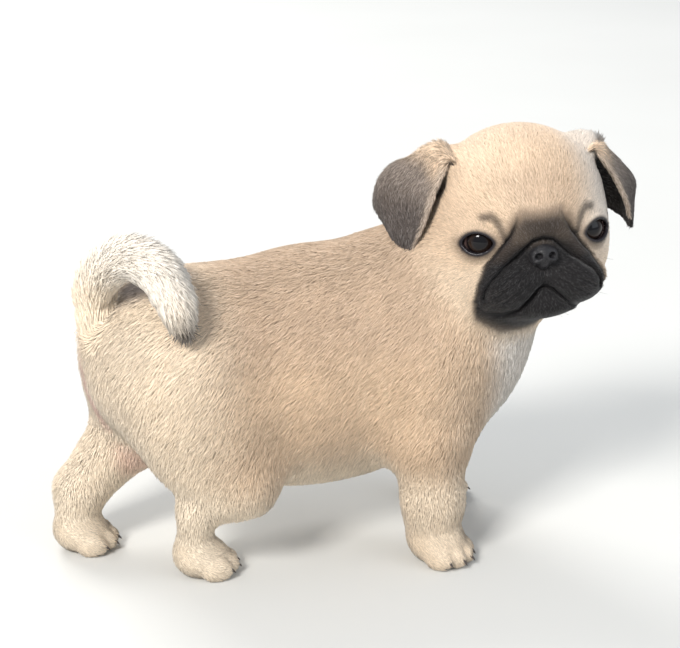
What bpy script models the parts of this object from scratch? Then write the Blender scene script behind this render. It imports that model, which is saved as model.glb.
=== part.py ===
# A standing pug puppy, about eight weeks old, its head turned to look over its right side.
# Metres, +Z up, +X along the body from rump to chest, +Y to the puppy's left.
# The solids give the outside of the coat. The origin is under the middle of the whole puppy.
import math

import bmesh
import bpy
import numpy as np
from mathutils import Matrix, Vector

GAP = 0.0003  # between touching nodes
WELD = 1e-6  # vertices nearer than this become one
HEAD_VOXEL = 0.0008
BODY_VOXEL = 0.0022
HEAD_TRIANGLES = 5000
BODY_TRIANGLES = 5200
NOSE_VOXEL = 0.0005
NOSE_TRIANGLES = 500
FLOOR_SINK = 0.0012  # how far the paws are modelled below the floor before it trims them flat

# Torso forms: centre, half sizes, yaw in degrees, blend with what is before it
TORSO = (
    ((0.007, 0.006, 0.089), (0.062, 0.049, 0.057), -5, 0.000),
    ((-0.036, 0.008, 0.084), (0.056, 0.050, 0.053), 4, 0.030),
    ((-0.082, 0.000, 0.098), (0.041, 0.041, 0.042), 14, 0.030),
    ((0.050, -0.006, 0.108), (0.042, 0.038, 0.034), -12, 0.026),
    ((0.050, -0.004, 0.089), (0.034, 0.034, 0.035), -14, 0.024),
)
NECK = (((0.040, 0.003, 0.116), 0.037), ((0.070, -0.008, 0.142), 0.034))
NECK_BLEND = 0.022

# Each leg is a chain of joints with the radius of the coat at each, from the top down,
# with the muscle over its upper joint: centre, half sizes, and pitch in degrees
LEGS = {
    "foreleg_right": (
        (((0.035, -0.030, 0.092), 0.025), ((0.033, -0.037, 0.062), 0.0200),
         ((0.0350, -0.0405, 0.030), 0.0145), ((0.0350, -0.0410, 0.014), 0.0132)),
        ((0.036, -0.030, 0.088), (0.027, 0.021, 0.042), 0.0),
    ),
    "foreleg_left": (
        (((0.040, 0.030, 0.092), 0.025), ((0.042, 0.033, 0.062), 0.0205),
         ((0.051, 0.030, 0.030), 0.0142), ((0.055, 0.029, 0.014), 0.0132)),
        ((0.040, 0.028, 0.088), (0.027, 0.021, 0.040), 0.0),
    ),
    "hind_leg_right": (
        (((-0.078, -0.022, 0.095), 0.030), ((-0.057, -0.033, 0.047), 0.0180),
         ((-0.0765, -0.0300, 0.032), 0.0092), ((-0.0790, -0.0290, 0.013), 0.0090)),
        ((-0.071, -0.026, 0.076), (0.032, 0.024, 0.042), 12.0),
    ),
    "hind_leg_left": (
        (((-0.090, 0.020, 0.095), 0.029), ((-0.094, 0.025, 0.061), 0.0205),
         ((-0.1255, 0.017, 0.0295), 0.0125), ((-0.1300, 0.014, 0.013), 0.0098)),
        ((-0.093, 0.023, 0.080), (0.025, 0.021, 0.040), 4.0),
    ),
}
LEG_BLEND = 0.014
LEG_REACH = 0.100  # no leg has a place further than this from its second joint
PAW_YAW = {
    "foreleg_right": -52.0,
    "foreleg_left": -6.0,
    "hind_leg_right": -4.0,
    "hind_leg_left": -16.0,
}
PAW_PAD = ((0.004, 0.0, 0.0085), (0.0130, 0.0122, 0.0098))
TOE = (0.0078, 0.0046, 0.0064)
TOE_PLACES = ((0.0095, -0.0094), (0.0132, -0.0033), (0.0132, 0.0033), (0.0095, 0.0094))
PAW_BLEND = 0.006
TOE_BLEND = 0.0025
CLAW_LENGTH = 0.0050
CLAW_RADIUS = 0.0010
CLAW_DROOP = 35.0

# The head is modelled in its own frame: +X out of the nose, +Y to its left, origin in the skull
HEAD_PLACE = (0.081, -0.021, 0.163)
HEAD_YAW, HEAD_PITCH, HEAD_ROLL = -95.0, 5.0, 4.0
HEAD_BLEND = 0.016
HEAD_REACH = 0.085
MIRROR_SOFTNESS = 0.0012  # rounds the fold of the mirrored forms at the middle of the face
# Head forms on the left side: centre, half sizes, blend
HEAD = (
    ((-0.003, 0.000, 0.004), (0.0395, 0.0405, 0.0380), 0.000),
    ((0.012, 0.000, 0.009), (0.0255, 0.0310, 0.0260), 0.016),
    ((0.002, 0.0200, -0.018), (0.0275, 0.0205, 0.0240), 0.014),
    ((0.006, 0.000, -0.029), (0.0290, 0.0270, 0.0170), 0.012),
    ((0.022, 0.000, -0.007), (0.0165, 0.0200, 0.0150), 0.010),
    ((0.0220, 0.0180, 0.0040), (0.0090, 0.0095, 0.0065), 0.008),
    ((-0.004, 0.0325, 0.0255), (0.0145, 0.0090, 0.0095), 0.008),
    ((0.0170, 0.000, -0.0268), (0.0220, 0.0306, 0.0162), 0.006),
    ((0.0268, 0.0142, -0.0272), (0.0160, 0.0182, 0.0136), 0.003),
    ((0.0245, 0.000, -0.0370), (0.0160, 0.0215, 0.0088), 0.003),
)
CONCHA = ((0.0060, 0.0420, 0.0200), (0.0100, 0.0060, 0.0080))  # the hollow under each ear
EYE = (0.0230, 0.0243, -0.0062)
EYE_RADIUS = 0.0092
LID_THICKNESS = 0.0015
EYE_YAW = 27.0  # how far each eye looks out to its side
EYE_OPENING = (0.0152, 0.0100)  # width and height between the lids
NOSE = (0.0372, 0.0, -0.0128)
NOSE_HALF = (0.0062, 0.0056, 0.0053)
# Places in the nose, from its middle, on its left side: centre and half sizes
NOSE_WING = ((0.0015, 0.0040, -0.0008), (0.0042, 0.0026, 0.0038))
NOSTRIL = ((0.0058, 0.0029, -0.0003), (0.0033, 0.0014, 0.0013))
NOSE_SLIT = ((0.0060, 0.0035, -0.0006), (0.0045, 0.0059, -0.0030))  # from the nostril to the side
SLIT_RADII = (0.0009, 0.0005)
NOSE_SEAM = (0.0008, 0.0005, -0.0015)  # depth and half width, and the height it ends at

# The raised roll over the nose and down each side of the muzzle, and its radius
NOSE_ROLL = ((0.0360, 0.0000, -0.0005), (0.0360, 0.0070, -0.0030), (0.0335, 0.0140, -0.0095),
             (0.0300, 0.0205, -0.0170), (0.0255, 0.0250, -0.0255))
ROLL_RADIUS = 0.0042
# Sunk lines of the face as seen from the front, as places across and up, with depth and half width
INNER_FOLD = ((0.0000, -0.0056), (0.0046, -0.0068), (0.0084, -0.0102), (0.0120, -0.0138),
              (0.0188, -0.0192), (0.0235, -0.0228), (0.0265, -0.0270), (0.0272, -0.0310))
OUTER_FOLD = ((0.0100, 0.0060), (0.0110, 0.0025), (0.0140, -0.0040), (0.0235, -0.0154),
              (0.0289, -0.0255), (0.0300, -0.0330))
PHILTRUM = ((0.0, -0.0180), (0.0, -0.0272))
MOUTH = ((0.0000, -0.0270), (0.0036, -0.0292), (0.0078, -0.0336), (0.0120, -0.0378),
         (0.0182, -0.0400), (0.0254, -0.0396), (0.0290, -0.0368))
FACE_LINES = (
    (INNER_FOLD, 0.0020, 0.0015),
    (OUTER_FOLD, 0.0014, 0.0016),
    (PHILTRUM, 0.0018, 0.0012),
    (MOUTH, 0.0034, 0.0017),
)
LINE_ENDS = (0.025, 0.010)  # the lines fade out behind this depth and above this height
LINE_FADE = 0.010

EAR_THICKNESS = 0.0024
# Rows of each ear from its base over the fold to its tip, cupped towards the head:
# front edge, middle and rear edge, in the head's frame with y outwards
EAR_ROWS = {
    "left": (
        ((0.0110, 0.0290, 0.0240), (-0.0060, 0.0300, 0.0240), (-0.0200, 0.0330, -0.0030)),
        ((0.0120, 0.0337, 0.0274), (-0.0060, 0.0396, 0.0269), (-0.0250, 0.0410, -0.0010)),
        ((0.0130, 0.0362, 0.0254), (-0.0080, 0.0470, 0.0221), (-0.0270, 0.0470, -0.0040)),
        ((0.0130, 0.0402, 0.0193), (-0.0080, 0.0537, 0.0156), (-0.0260, 0.0510, -0.0060)),
        ((0.0110, 0.0453, 0.0105), (-0.0060, 0.0586, 0.0081), (-0.0200, 0.0535, -0.0080)),
        ((0.0080, 0.0503, 0.0000), (-0.0020, 0.0568, -0.0013), (-0.0100, 0.0550, -0.0100)),
        ((0.0040, 0.0529, -0.0071), (0.0010, 0.0549, -0.0083), (-0.0020, 0.0550, -0.0130)),
    ),
    "right": (
        ((0.0110, 0.0290, 0.0240), (-0.0060, 0.0300, 0.0260), (-0.0200, 0.0330, 0.0040)),
        ((0.0120, 0.0328, 0.0290), (-0.0070, 0.0337, 0.0332), (-0.0250, 0.0420, 0.0060)),
        ((0.0120, 0.0353, 0.0269), (-0.0090, 0.0414, 0.0324), (-0.0280, 0.0500, 0.0070)),
        ((0.0120, 0.0386, 0.0208), (-0.0100, 0.0521, 0.0277), (-0.0280, 0.0578, 0.0178)),
        ((0.0110, 0.0428, 0.0119), (-0.0080, 0.0614, 0.0182), (-0.0240, 0.0633, 0.0079)),
        ((0.0080, 0.0477, -0.0007), (-0.0040, 0.0587, 0.0024), (-0.0120, 0.0607, -0.0021)),
        ((0.0050, 0.0520, -0.0097), (0.0020, 0.0553, -0.0113), (-0.0020, 0.0581, -0.0102)),
    ),
}
EAR_COLUMNS, EAR_RINGS = 9, 15
EAR_BEVEL = 0.35  # of its rim, as a share of its thickness

# The tail's centre line with its radius at each point, curled over the right hip
TAIL = (
    ((-0.107, 0.002, 0.106), 0.0125),
    ((-0.1150, -0.002, 0.124), 0.0110),
    ((-0.1145, -0.008, 0.1405), 0.0105),
    ((-0.1060, -0.017, 0.1515), 0.0108),
    ((-0.0960, -0.027, 0.1515), 0.0108),
    ((-0.0895, -0.036, 0.1450), 0.0100),
    ((-0.0855, -0.043, 0.1350), 0.0078),
    ((-0.0825, -0.046, 0.1245), 0.0016),
)
TAIL_STEP = 0.004  # between the rings of the tail's tube
TAIL_JOINTS = (0.34, 0.66)  # where it is divided, as shares of its length
TAIL_SIDES = 4  # bevel resolution: twelve sides
TAIL_DISC = 1.25  # radius of the discs that divide it, as a share of its own

# The planes that divide the body: a point on each and its normal
NECK_TOP_CUT = ((0.0576, -0.0088, 0.1385), (0.650, -0.340, 0.680))
NECK_BASE_CUT = ((0.052, 0.000, 0.122), (0.650, -0.200, 0.733))
CHEST_CUT = ((-0.016, 0.0, 0.0), (1.0, -0.05, 0.0))
RUMP_CUT = ((-0.058, 0.0, 0.0), (1.0, 0.22, 0.0))
# The block that each leg is cut out with: x from and to, y at the inner and outer side,
# and the height of its sloping top at each of those sides
LEG_BLOCKS = {
    "foreleg_right": (-0.004, 0.076, -0.012, -0.085, 0.046, 0.092),
    "foreleg_left": (0.004, 0.092, 0.010, 0.085, 0.048, 0.092),
    "hind_leg_right": (-0.125, -0.034, -0.010, -0.085, 0.060, 0.124),
    "hind_leg_left": (-0.165, -0.056, -0.003, 0.085, 0.062, 0.124),
}
PAW_CUT_HEIGHT = 0.0235
LARGE = 0.4  # the side of a cutting block, larger than the puppy


def clear_scene():
    for obj in list(bpy.data.objects):
        bpy.data.objects.remove(obj)


def make_collection(name):
    found = bpy.data.collections.new(name)
    bpy.context.scene.collection.children.link(found)
    return found


def make_material(name, colour, roughness):
    material = bpy.data.materials.new(name)
    material.use_nodes = True
    shader = material.node_tree.nodes["Principled BSDF"]
    shader.inputs["Base Color"].default_value = (*colour, 1.0)
    shader.inputs["Roughness"].default_value = roughness
    return material


def head_matrix():
    turn = Matrix.Rotation(math.radians(HEAD_YAW), 4, "Z")
    turn @= Matrix.Rotation(math.radians(-HEAD_PITCH), 4, "Y")
    turn @= Matrix.Rotation(math.radians(HEAD_ROLL), 4, "X")
    return Matrix.Translation(HEAD_PLACE) @ turn


def to_head(points):
    world = np.array(head_matrix())
    return (points - world[:3, 3]) @ world[:3, :3]


def yaw_matrix(degrees):
    return np.array(Matrix.Rotation(math.radians(degrees), 3, "Z"))


# Distances to the forms, negative inside


def ellipsoid(points, centre, half, turn=None):
    q = points - np.array(centre)
    if turn is not None:
        q = q @ turn
    half = np.array(half)
    k = np.linalg.norm(q / half, axis=1)
    g = np.linalg.norm(q / half**2, axis=1)
    return k * (k - 1.0) / np.maximum(g, 1e-6)


def taper(points, a, b, radius_a, radius_b):
    a, b = np.array(a), np.array(b)
    along = b - a
    t = np.clip((points - a) @ along / (along @ along), 0.0, 1.0)
    return np.linalg.norm(points - a - t[:, None] * along, axis=1) - radius_a - (radius_b - radius_a) * t


def soft_min(first, second, blend):
    if blend <= 0.0:
        return np.minimum(first, second)
    h = np.maximum(blend - np.abs(first - second), 0.0) / blend
    return np.minimum(first, second) - h * h * blend / 4.0


def soft_max(first, second, blend):
    return -soft_min(-first, -second, blend)


def chain(points, joints, blend):
    found = None
    for (a, radius_a), (b, radius_b) in zip(joints, joints[1:]):
        piece = taper(points, a, b, radius_a, radius_b)
        found = piece if found is None else soft_min(found, piece, blend)
    return found


def path_distance(points, path):
    found = np.full(len(points), 1.0)
    for a, b in zip(path, path[1:]):
        found = np.minimum(found, taper(points, a, b, 0.0, 0.0))
    return found


def pitch_matrix(degrees):
    return np.array(Matrix.Rotation(math.radians(-degrees), 3, "Y"))


def paw(points, leg):
    (x, y, _), _ = LEGS[leg][0][-1]
    local = (points - np.array((x, y, 0.0))) @ yaw_matrix(PAW_YAW[leg])
    centre, half = PAW_PAD
    found = ellipsoid(local, centre, half)
    for toe_x, toe_y in TOE_PLACES:
        found = soft_min(found, ellipsoid(local, (toe_x, toe_y, TOE[2] - FLOOR_SINK), TOE), TOE_BLEND)
    return found


def leg_field(points, leg):
    joints, (centre, half, pitch) = LEGS[leg]
    found = soft_min(chain(points, joints, 0.006), paw(points, leg), PAW_BLEND)
    return soft_min(found, ellipsoid(points, centre, half, pitch_matrix(pitch)), 0.012)


def torso_field(points):
    found = None
    for centre, half, yaw, blend in TORSO:
        piece = ellipsoid(points, centre, half, yaw_matrix(yaw))
        found = piece if found is None else soft_min(found, piece, blend)
    return found


def eye_axis():
    return np.array((math.cos(math.radians(EYE_YAW)), math.sin(math.radians(EYE_YAW)), 0.0))


def eye_opening(q):
    """Negative inside the almond between the lids, seen along the eye's axis."""
    out = eye_axis()
    side = np.array((-out[1], out[0], 0.0))
    rel = q - np.array(EYE)
    across, up, depth = rel @ side, rel[:, 2], rel @ out
    half_width, half_height = EYE_OPENING[0] / 2, EYE_OPENING[1] / 2
    radius = (half_width**2 + half_height**2) / (2 * half_height)
    drop = radius - half_height
    upper = np.hypot(across, up + drop) - radius
    lower = np.hypot(across, up - drop) - radius
    return np.maximum(soft_max(upper, lower, 0.001), -depth + EYE_RADIUS * 0.35)


def head_base(q):
    """The head before its folds and lines are added. q is in the head's frame, with y made positive."""
    found = None
    for centre, half, blend in HEAD:
        piece = ellipsoid(q, centre, half)
        found = piece if found is None else soft_min(found, piece, blend)
    lids = np.linalg.norm(q - np.array(EYE), axis=1) - EYE_RADIUS - LID_THICKNESS
    return soft_min(found, lids, 0.005)


def face_lines(q):
    """How far the sunk lines lower the face. q is in the head's frame, with y made positive."""
    sunk = np.zeros(len(q))
    seen = q.copy()
    seen[:, 0] = 0.0
    for path, depth, width in FACE_LINES:
        away = path_distance(seen, [(0.0, across, up) for across, up in path])
        sunk = np.maximum(sunk, depth * np.exp(-((away / width) ** 2)))
    behind, above = LINE_ENDS
    sunk *= np.clip((q[:, 0] - behind) / LINE_FADE, 0.0, 1.0)
    return sunk * np.clip((above - q[:, 2]) / LINE_FADE, 0.0, 1.0)


def head_field(points):
    q = to_head(points)
    q[:, 1] = np.sqrt(q[:, 1] ** 2 + MIRROR_SOFTNESS**2)
    found = head_base(q)
    found = soft_min(found, path_distance(q, NOSE_ROLL) - ROLL_RADIUS, 0.0030)
    found = soft_max(found, -ellipsoid(q, *CONCHA), 0.0020)
    return soft_max(found + face_lines(q), -eye_opening(q), 0.0006)


def blend_near(found, points, field, centre, reach, blend):
    """Blends a field into found where points lie within reach of centre, and so could meet it."""
    near = np.flatnonzero(np.linalg.norm(points - np.array(centre), axis=1) < reach)
    found[near] = soft_min(found[near], field(points[near]), blend)


def whole_field(points):
    found = torso_field(points)
    found = soft_min(found, chain(points, NECK, 0.01), NECK_BLEND)
    for leg, (joints, _) in LEGS.items():
        blend_near(found, points, lambda p, leg=leg: leg_field(p, leg), joints[1][0], LEG_REACH, LEG_BLEND)
    blend_near(found, points, head_field, HEAD_PLACE, HEAD_REACH, HEAD_BLEND)
    return found


# Meshes


def add_object(name, mesh, collection, material=None):
    obj = bpy.data.objects.new(name, mesh)
    collection.objects.link(obj)
    if material:
        mesh.materials.clear()
        mesh.materials.append(material)
    return obj


def bake_modifiers(obj):
    bpy.context.view_layer.update()
    graph = bpy.context.evaluated_depsgraph_get()
    mesh = bpy.data.meshes.new_from_object(obj.evaluated_get(graph))
    obj.modifiers.clear()
    old = obj.data
    obj.data = mesh
    bpy.data.meshes.remove(old)


def coordinates(mesh):
    found = np.empty(len(mesh.vertices) * 3)
    mesh.vertices.foreach_get("co", found)
    return found.reshape(-1, 3)


def normals(mesh):
    found = np.empty(len(mesh.vertices) * 3)
    mesh.vertex_normals.foreach_get("vector", found)
    return found.reshape(-1, 3)


def set_coordinates(mesh, points):
    mesh.vertices.foreach_set("co", points.ravel())
    mesh.update()


def settle(mesh, field, rounds, relax, limit=0.0015):
    """Moves each vertex along its normal onto the field's surface, evening out the mesh as it goes."""
    ends = np.empty(len(mesh.edges) * 2, np.int64)
    mesh.edges.foreach_get("vertices", ends)
    ends = np.concatenate([ends.reshape(-1, 2), ends.reshape(-1, 2)[:, ::-1]])
    count = len(mesh.vertices)
    degree = np.bincount(ends[:, 0], minlength=count)
    for _ in range(rounds):
        points = coordinates(mesh)
        if relax:
            sums = [np.bincount(ends[:, 0], points[ends[:, 1], axis], count) for axis in range(3)]
            points += relax * (np.stack(sums, axis=1) / degree[:, None] - points)
            set_coordinates(mesh, points)
        step = np.clip(field(points), -limit, limit)
        set_coordinates(mesh, points - normals(mesh) * step[:, None])


def add_ball(balls, centre, half, turn=None):
    place = Matrix.Translation(centre)
    if turn is not None:
        place @= turn
    balls.append(place @ Matrix.Diagonal((*half, 1.0)))


def add_chain_balls(balls, joints):
    for (a, radius_a), (b, radius_b) in zip(joints, joints[1:]):
        steps = max(2, int((Vector(b) - Vector(a)).length / 0.008))
        for i in range(steps + 1):
            t = i / steps
            radius = radius_a + (radius_b - radius_a) * t
            add_ball(balls, Vector(a).lerp(Vector(b), t), (radius,) * 3)


def ball_mesh(name, segments, rings, matrix=Matrix.Identity(4)):
    bm = bmesh.new()
    bmesh.ops.create_uvsphere(bm, u_segments=segments, v_segments=rings, radius=1.0, matrix=matrix)
    mesh = bpy.data.meshes.new(name)
    bm.to_mesh(mesh)
    bm.free()
    return mesh


def voxel_remesh(obj, voxel):
    remesh = obj.modifiers.new("Remesh", "REMESH")
    remesh.mode = "VOXEL"
    remesh.voxel_size = voxel
    bake_modifiers(obj)


def remeshed(name, balls, voxel, field, triangles, collection, material):
    """One closed skin around the balls, laid on the field and thinned to a number of triangles."""
    ball = ball_mesh(name + "_ball", 24, 14)
    bm = bmesh.new()
    for place in balls:
        placed = ball.copy()
        placed.transform(place)
        bm.from_mesh(placed)
        bpy.data.meshes.remove(placed)
    bpy.data.meshes.remove(ball)
    mesh = bpy.data.meshes.new(name)
    bm.to_mesh(mesh)
    bm.free()
    obj = add_object(name, mesh, collection, material)
    voxel_remesh(obj, voxel * 1.6)
    settle(obj.data, field, 16, relax=0.6)
    voxel_remesh(obj, voxel)
    settle(obj.data, field, 10, relax=0.4)
    settle(obj.data, field, 3, relax=0.1)
    thin = obj.modifiers.new("Thin", "DECIMATE")
    thin.use_collapse_triangulate = True
    thin.ratio = triangles / (2 * len(obj.data.polygons))
    bake_modifiers(obj)
    return obj


def head_balls(balls):
    world = head_matrix()
    turn = world.to_quaternion().to_matrix().to_4x4()
    for centre, half, _ in HEAD:
        for side in (1, -1):
            add_ball(balls, world @ Vector((centre[0], side * centre[1], centre[2])), half, turn)
    for side in (1, -1):
        place = world @ Vector((EYE[0], side * EYE[1], EYE[2]))
        add_ball(balls, place, (EYE_RADIUS + LID_THICKNESS,) * 3)


def make_head_form(collection, material):
    balls = []
    head_balls(balls)
    add_chain_balls(balls, NECK)
    return remeshed("head", balls, HEAD_VOXEL, whole_field, HEAD_TRIANGLES, collection, material)


def make_body_form(collection, material):
    balls = []
    for centre, half, yaw, _ in TORSO:
        add_ball(balls, centre, half, Matrix.Rotation(math.radians(yaw), 4, "Z"))
    add_chain_balls(balls, NECK)
    for leg, (joints, (centre, half, pitch)) in LEGS.items():
        add_chain_balls(balls, joints)
        add_ball(balls, centre, half, Matrix.Rotation(math.radians(-pitch), 4, "Y"))
        (x, y, _), _ = joints[-1]
        turn = Matrix.Rotation(math.radians(PAW_YAW[leg]), 4, "Z")
        place = Matrix.Translation((x, y, 0.0)) @ turn
        add_ball(balls, place @ Vector(PAW_PAD[0]), PAW_PAD[1], turn)
        for toe_x, toe_y in TOE_PLACES:
            add_ball(balls, place @ Vector((toe_x, toe_y, TOE[2] - FLOOR_SINK)), TOE, turn)
    head_balls(balls)
    return remeshed("body", balls, BODY_VOXEL, whole_field, BODY_TRIANGLES, collection, material)


def joined(obj, others):
    """Joins closed mesh objects to obj with one Boolean union, and removes them."""
    group = make_collection("joining")
    for other in others:
        for owner in list(other.users_collection):
            owner.objects.unlink(other)
        group.objects.link(other)
    union = obj.modifiers.new("Join", "BOOLEAN")
    union.operand_type = "COLLECTION"
    union.collection = group
    union.operation = "UNION"
    bake_modifiers(obj)
    for other in others:
        bpy.data.objects.remove(other)
    bpy.data.collections.remove(group)


def shells(bm):
    """The closed surfaces of a mesh, as sets of faces."""
    left, found = set(bm.faces), []
    while left:
        shell, reached = set(), [left.pop()]
        while reached:
            face = reached.pop()
            shell.add(face)
            for edge in face.edges:
                for other in edge.link_faces:
                    if other in left:
                        left.remove(other)
                        reached.append(other)
        found.append(shell)
    return found


def shell_volume(shell):
    return sum(f.verts[0].co.dot(f.verts[1].co.cross(f.verts[2].co)) for f in shell) / 6


def keep_one(obj, worth):
    """Keeps only the closed surface that is worth most."""
    bm = bmesh.new()
    bm.from_mesh(obj.data)
    bmesh.ops.remove_doubles(bm, verts=bm.verts, dist=WELD)
    bmesh.ops.triangulate(bm, faces=bm.faces)
    best = max(shells(bm), key=worth)
    bmesh.ops.delete(bm, geom=[face for face in bm.faces if face not in best], context="FACES")
    bm.to_mesh(obj.data)
    bm.free()


def keep_nearest(obj, place):
    """Keeps only the closed surface that has the vertex nearest to a place."""
    keep_one(obj, lambda shell: -min((v.co - place).length for f in shell for v in f.verts))


def cut(obj, cutter, operation="DIFFERENCE", solver="EXACT"):
    boolean = obj.modifiers.new("Cut", "BOOLEAN")
    boolean.object = cutter
    boolean.operation = operation
    boolean.solver = solver
    bake_modifiers(obj)
    keep_one(obj, shell_volume)


def copy_of(obj, name, collection):
    made = obj.copy()
    made.data = obj.data.copy()
    made.name = name
    collection.objects.link(made)
    return made


def grown(obj, distance, cutters):
    """A copy of a solid with its surface moved out, to cut a neighbour clear of it."""
    made = copy_of(obj, obj.name + "_grown", cutters)
    set_coordinates(made.data, coordinates(made.data) + normals(made.data) * distance)
    made.hide_render = True
    made.display_type = "WIRE"
    return made


def block(name, bm, cutters):
    mesh = bpy.data.meshes.new(name)
    bm.to_mesh(mesh)
    bm.free()
    obj = add_object(name, mesh, cutters)
    obj.hide_render = True
    obj.display_type = "WIRE"
    return obj


def beyond(name, plane, side, cutters):
    """A block on one side of a plane, overlapping it by half the gap."""
    point, normal = Vector(plane[0]), Vector(plane[1]).normalized() * side
    turn = normal.to_track_quat("Z", "Y").to_matrix().to_4x4()
    place = Matrix.Translation(point + normal * (LARGE - GAP) / 2) @ turn
    bm = bmesh.new()
    bmesh.ops.create_cube(bm, size=LARGE, matrix=place)
    return block(name, bm, cutters)


def leg_block(leg, grow, cutters):
    """A block with a sloping top around a leg, larger by grow on the sides where the body is."""
    x_low, x_high, y_inner, y_outer, z_inner, z_outer = LEG_BLOCKS[leg]
    y_inner -= math.copysign(grow, y_outer)
    bm = bmesh.new()
    bmesh.ops.create_cube(bm, size=1.0)
    for vert in bm.verts:
        outer = (vert.co.y > 0) == (y_outer > 0)
        top = z_outer if outer else z_inner
        vert.co = (
            x_high + grow if vert.co.x > 0 else x_low - grow,
            y_outer if outer else y_inner,
            top + grow if vert.co.z > 0 else -0.02,
        )
    return block(leg + "_block", bm, cutters)


def head_ball(name, centre, radius, side, collection, material=None):
    place = head_matrix() @ Vector((centre[0], side * centre[1], centre[2]))
    mesh = ball_mesh(name, 20, 12, Matrix.Translation(place) @ Matrix.Scale(radius, 4))
    return add_object(name, mesh, collection, material)


def nose_field(points):
    q = to_head(points)
    q[:, 1] = np.sqrt(q[:, 1] ** 2 + (MIRROR_SOFTNESS / 3) ** 2)
    q -= np.array(NOSE)
    found = soft_min(ellipsoid(q, (0.0, 0.0, 0.0), NOSE_HALF), ellipsoid(q, *NOSE_WING), 0.0015)
    slit = taper(q, *NOSE_SLIT, *SLIT_RADII)
    found = soft_max(found, -soft_min(ellipsoid(q, *NOSTRIL), slit, 0.001), 0.0004)
    depth, width, top = NOSE_SEAM
    seam = np.hypot(q[:, 1], np.maximum(q[:, 2] - top, 0.0))
    return found + depth * np.exp(-((seam / width) ** 2))


def make_nose(collection, material):
    balls = []
    turn = head_matrix().to_quaternion().to_matrix().to_4x4()
    add_ball(balls, head_matrix() @ Vector(NOSE), NOSE_HALF, turn)
    return remeshed("nose", balls, NOSE_VOXEL, nose_field, NOSE_TRIANGLES, collection, material)


def spline(points, count):
    """A smooth curve through points, read at count even steps of its length."""
    points = np.array(points, float)
    padded = np.vstack([2 * points[0] - points[1], points, 2 * points[-1] - points[-2]])
    fine = []
    for i in range(len(points) - 1):
        p0, p1, p2, p3 = padded[i:i + 4]
        t = np.linspace(0.0, 1.0, 24, endpoint=False)[:, None]
        fine.append(0.5 * (2 * p1 + (p2 - p0) * t + (2 * p0 - 5 * p1 + 4 * p2 - p3) * t**2
                           + (3 * p1 - p0 - 3 * p2 + p3) * t**3))
    fine = np.vstack([*fine, points[-1:]])
    length = np.concatenate([[0.0], np.cumsum(np.linalg.norm(np.diff(fine[:, :3], axis=0), axis=1))])
    wanted = np.linspace(0.0, length[-1], count)
    return np.stack([np.interp(wanted, length, fine[:, k]) for k in range(fine.shape[1])], axis=1)


def tube_mesh(name, rows, scene_collection):
    """A closed tube along rows of x, y, z and radius."""
    curve = bpy.data.curves.new(name, "CURVE")
    curve.dimensions = "3D"
    curve.bevel_depth = 1.0
    curve.bevel_resolution = TAIL_SIDES
    curve.use_fill_caps = True
    line = curve.splines.new("POLY")
    line.points.add(len(rows) - 1)
    for point, (x, y, z, radius) in zip(line.points, rows):
        point.co = (x, y, z, 1.0)
        point.radius = radius
    tube = bpy.data.objects.new(name, curve)
    scene_collection.objects.link(tube)
    bpy.context.view_layer.update()
    mesh = bpy.data.meshes.new_from_object(tube.evaluated_get(bpy.context.evaluated_depsgraph_get()))
    bpy.data.objects.remove(tube)
    bm = bmesh.new()
    bm.from_mesh(mesh)
    bmesh.ops.remove_doubles(bm, verts=bm.verts, dist=WELD)
    bmesh.ops.recalc_face_normals(bm, faces=bm.faces)
    bm.to_mesh(mesh)
    bm.free()
    return mesh


def make_tail(collection, cutters, material, body):
    """One tube cut clear of the body, then divided across by thin discs."""
    rows = np.array([(*place, radius) for place, radius in TAIL])
    length = np.linalg.norm(np.diff(rows[:, :3], axis=0), axis=1).sum()
    rows = spline(rows, int(length / TAIL_STEP) + 1)
    whole = add_object("tail", tube_mesh("tail", rows, cutters), cutters, material)
    cut(whole, body)
    for share in TAIL_JOINTS:
        here = int(share * (len(rows) - 1))
        turn = Vector(rows[here + 1, :3] - rows[here - 1, :3]).to_track_quat("Z", "Y").to_matrix().to_4x4()
        bm = bmesh.new()
        bmesh.ops.create_cone(bm, cap_ends=True, segments=24, radius1=rows[here, 3] * TAIL_DISC,
                              radius2=rows[here, 3] * TAIL_DISC, depth=GAP,
                              matrix=Matrix.Translation(rows[here, :3]) @ turn)
        boolean = whole.modifiers.new("Divide", "BOOLEAN")
        boolean.object = block("tail_disc", bm, cutters)
    bake_modifiers(whole)
    for name, near in zip(("tail_base", "tail_curl", "tail_tip"), (0, len(rows) // 2, -1)):
        piece = copy_of(whole, name, collection)
        keep_nearest(piece, Vector(rows[near, :3]))


def ear_places(word):
    """Even rings of places over an ear, with EAR_COLUMNS places along each."""
    rows = np.stack([spline(row, EAR_COLUMNS) for row in EAR_ROWS[word]])
    return np.stack([spline(rows[:, column], EAR_RINGS) for column in range(EAR_COLUMNS)], axis=1)


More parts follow.
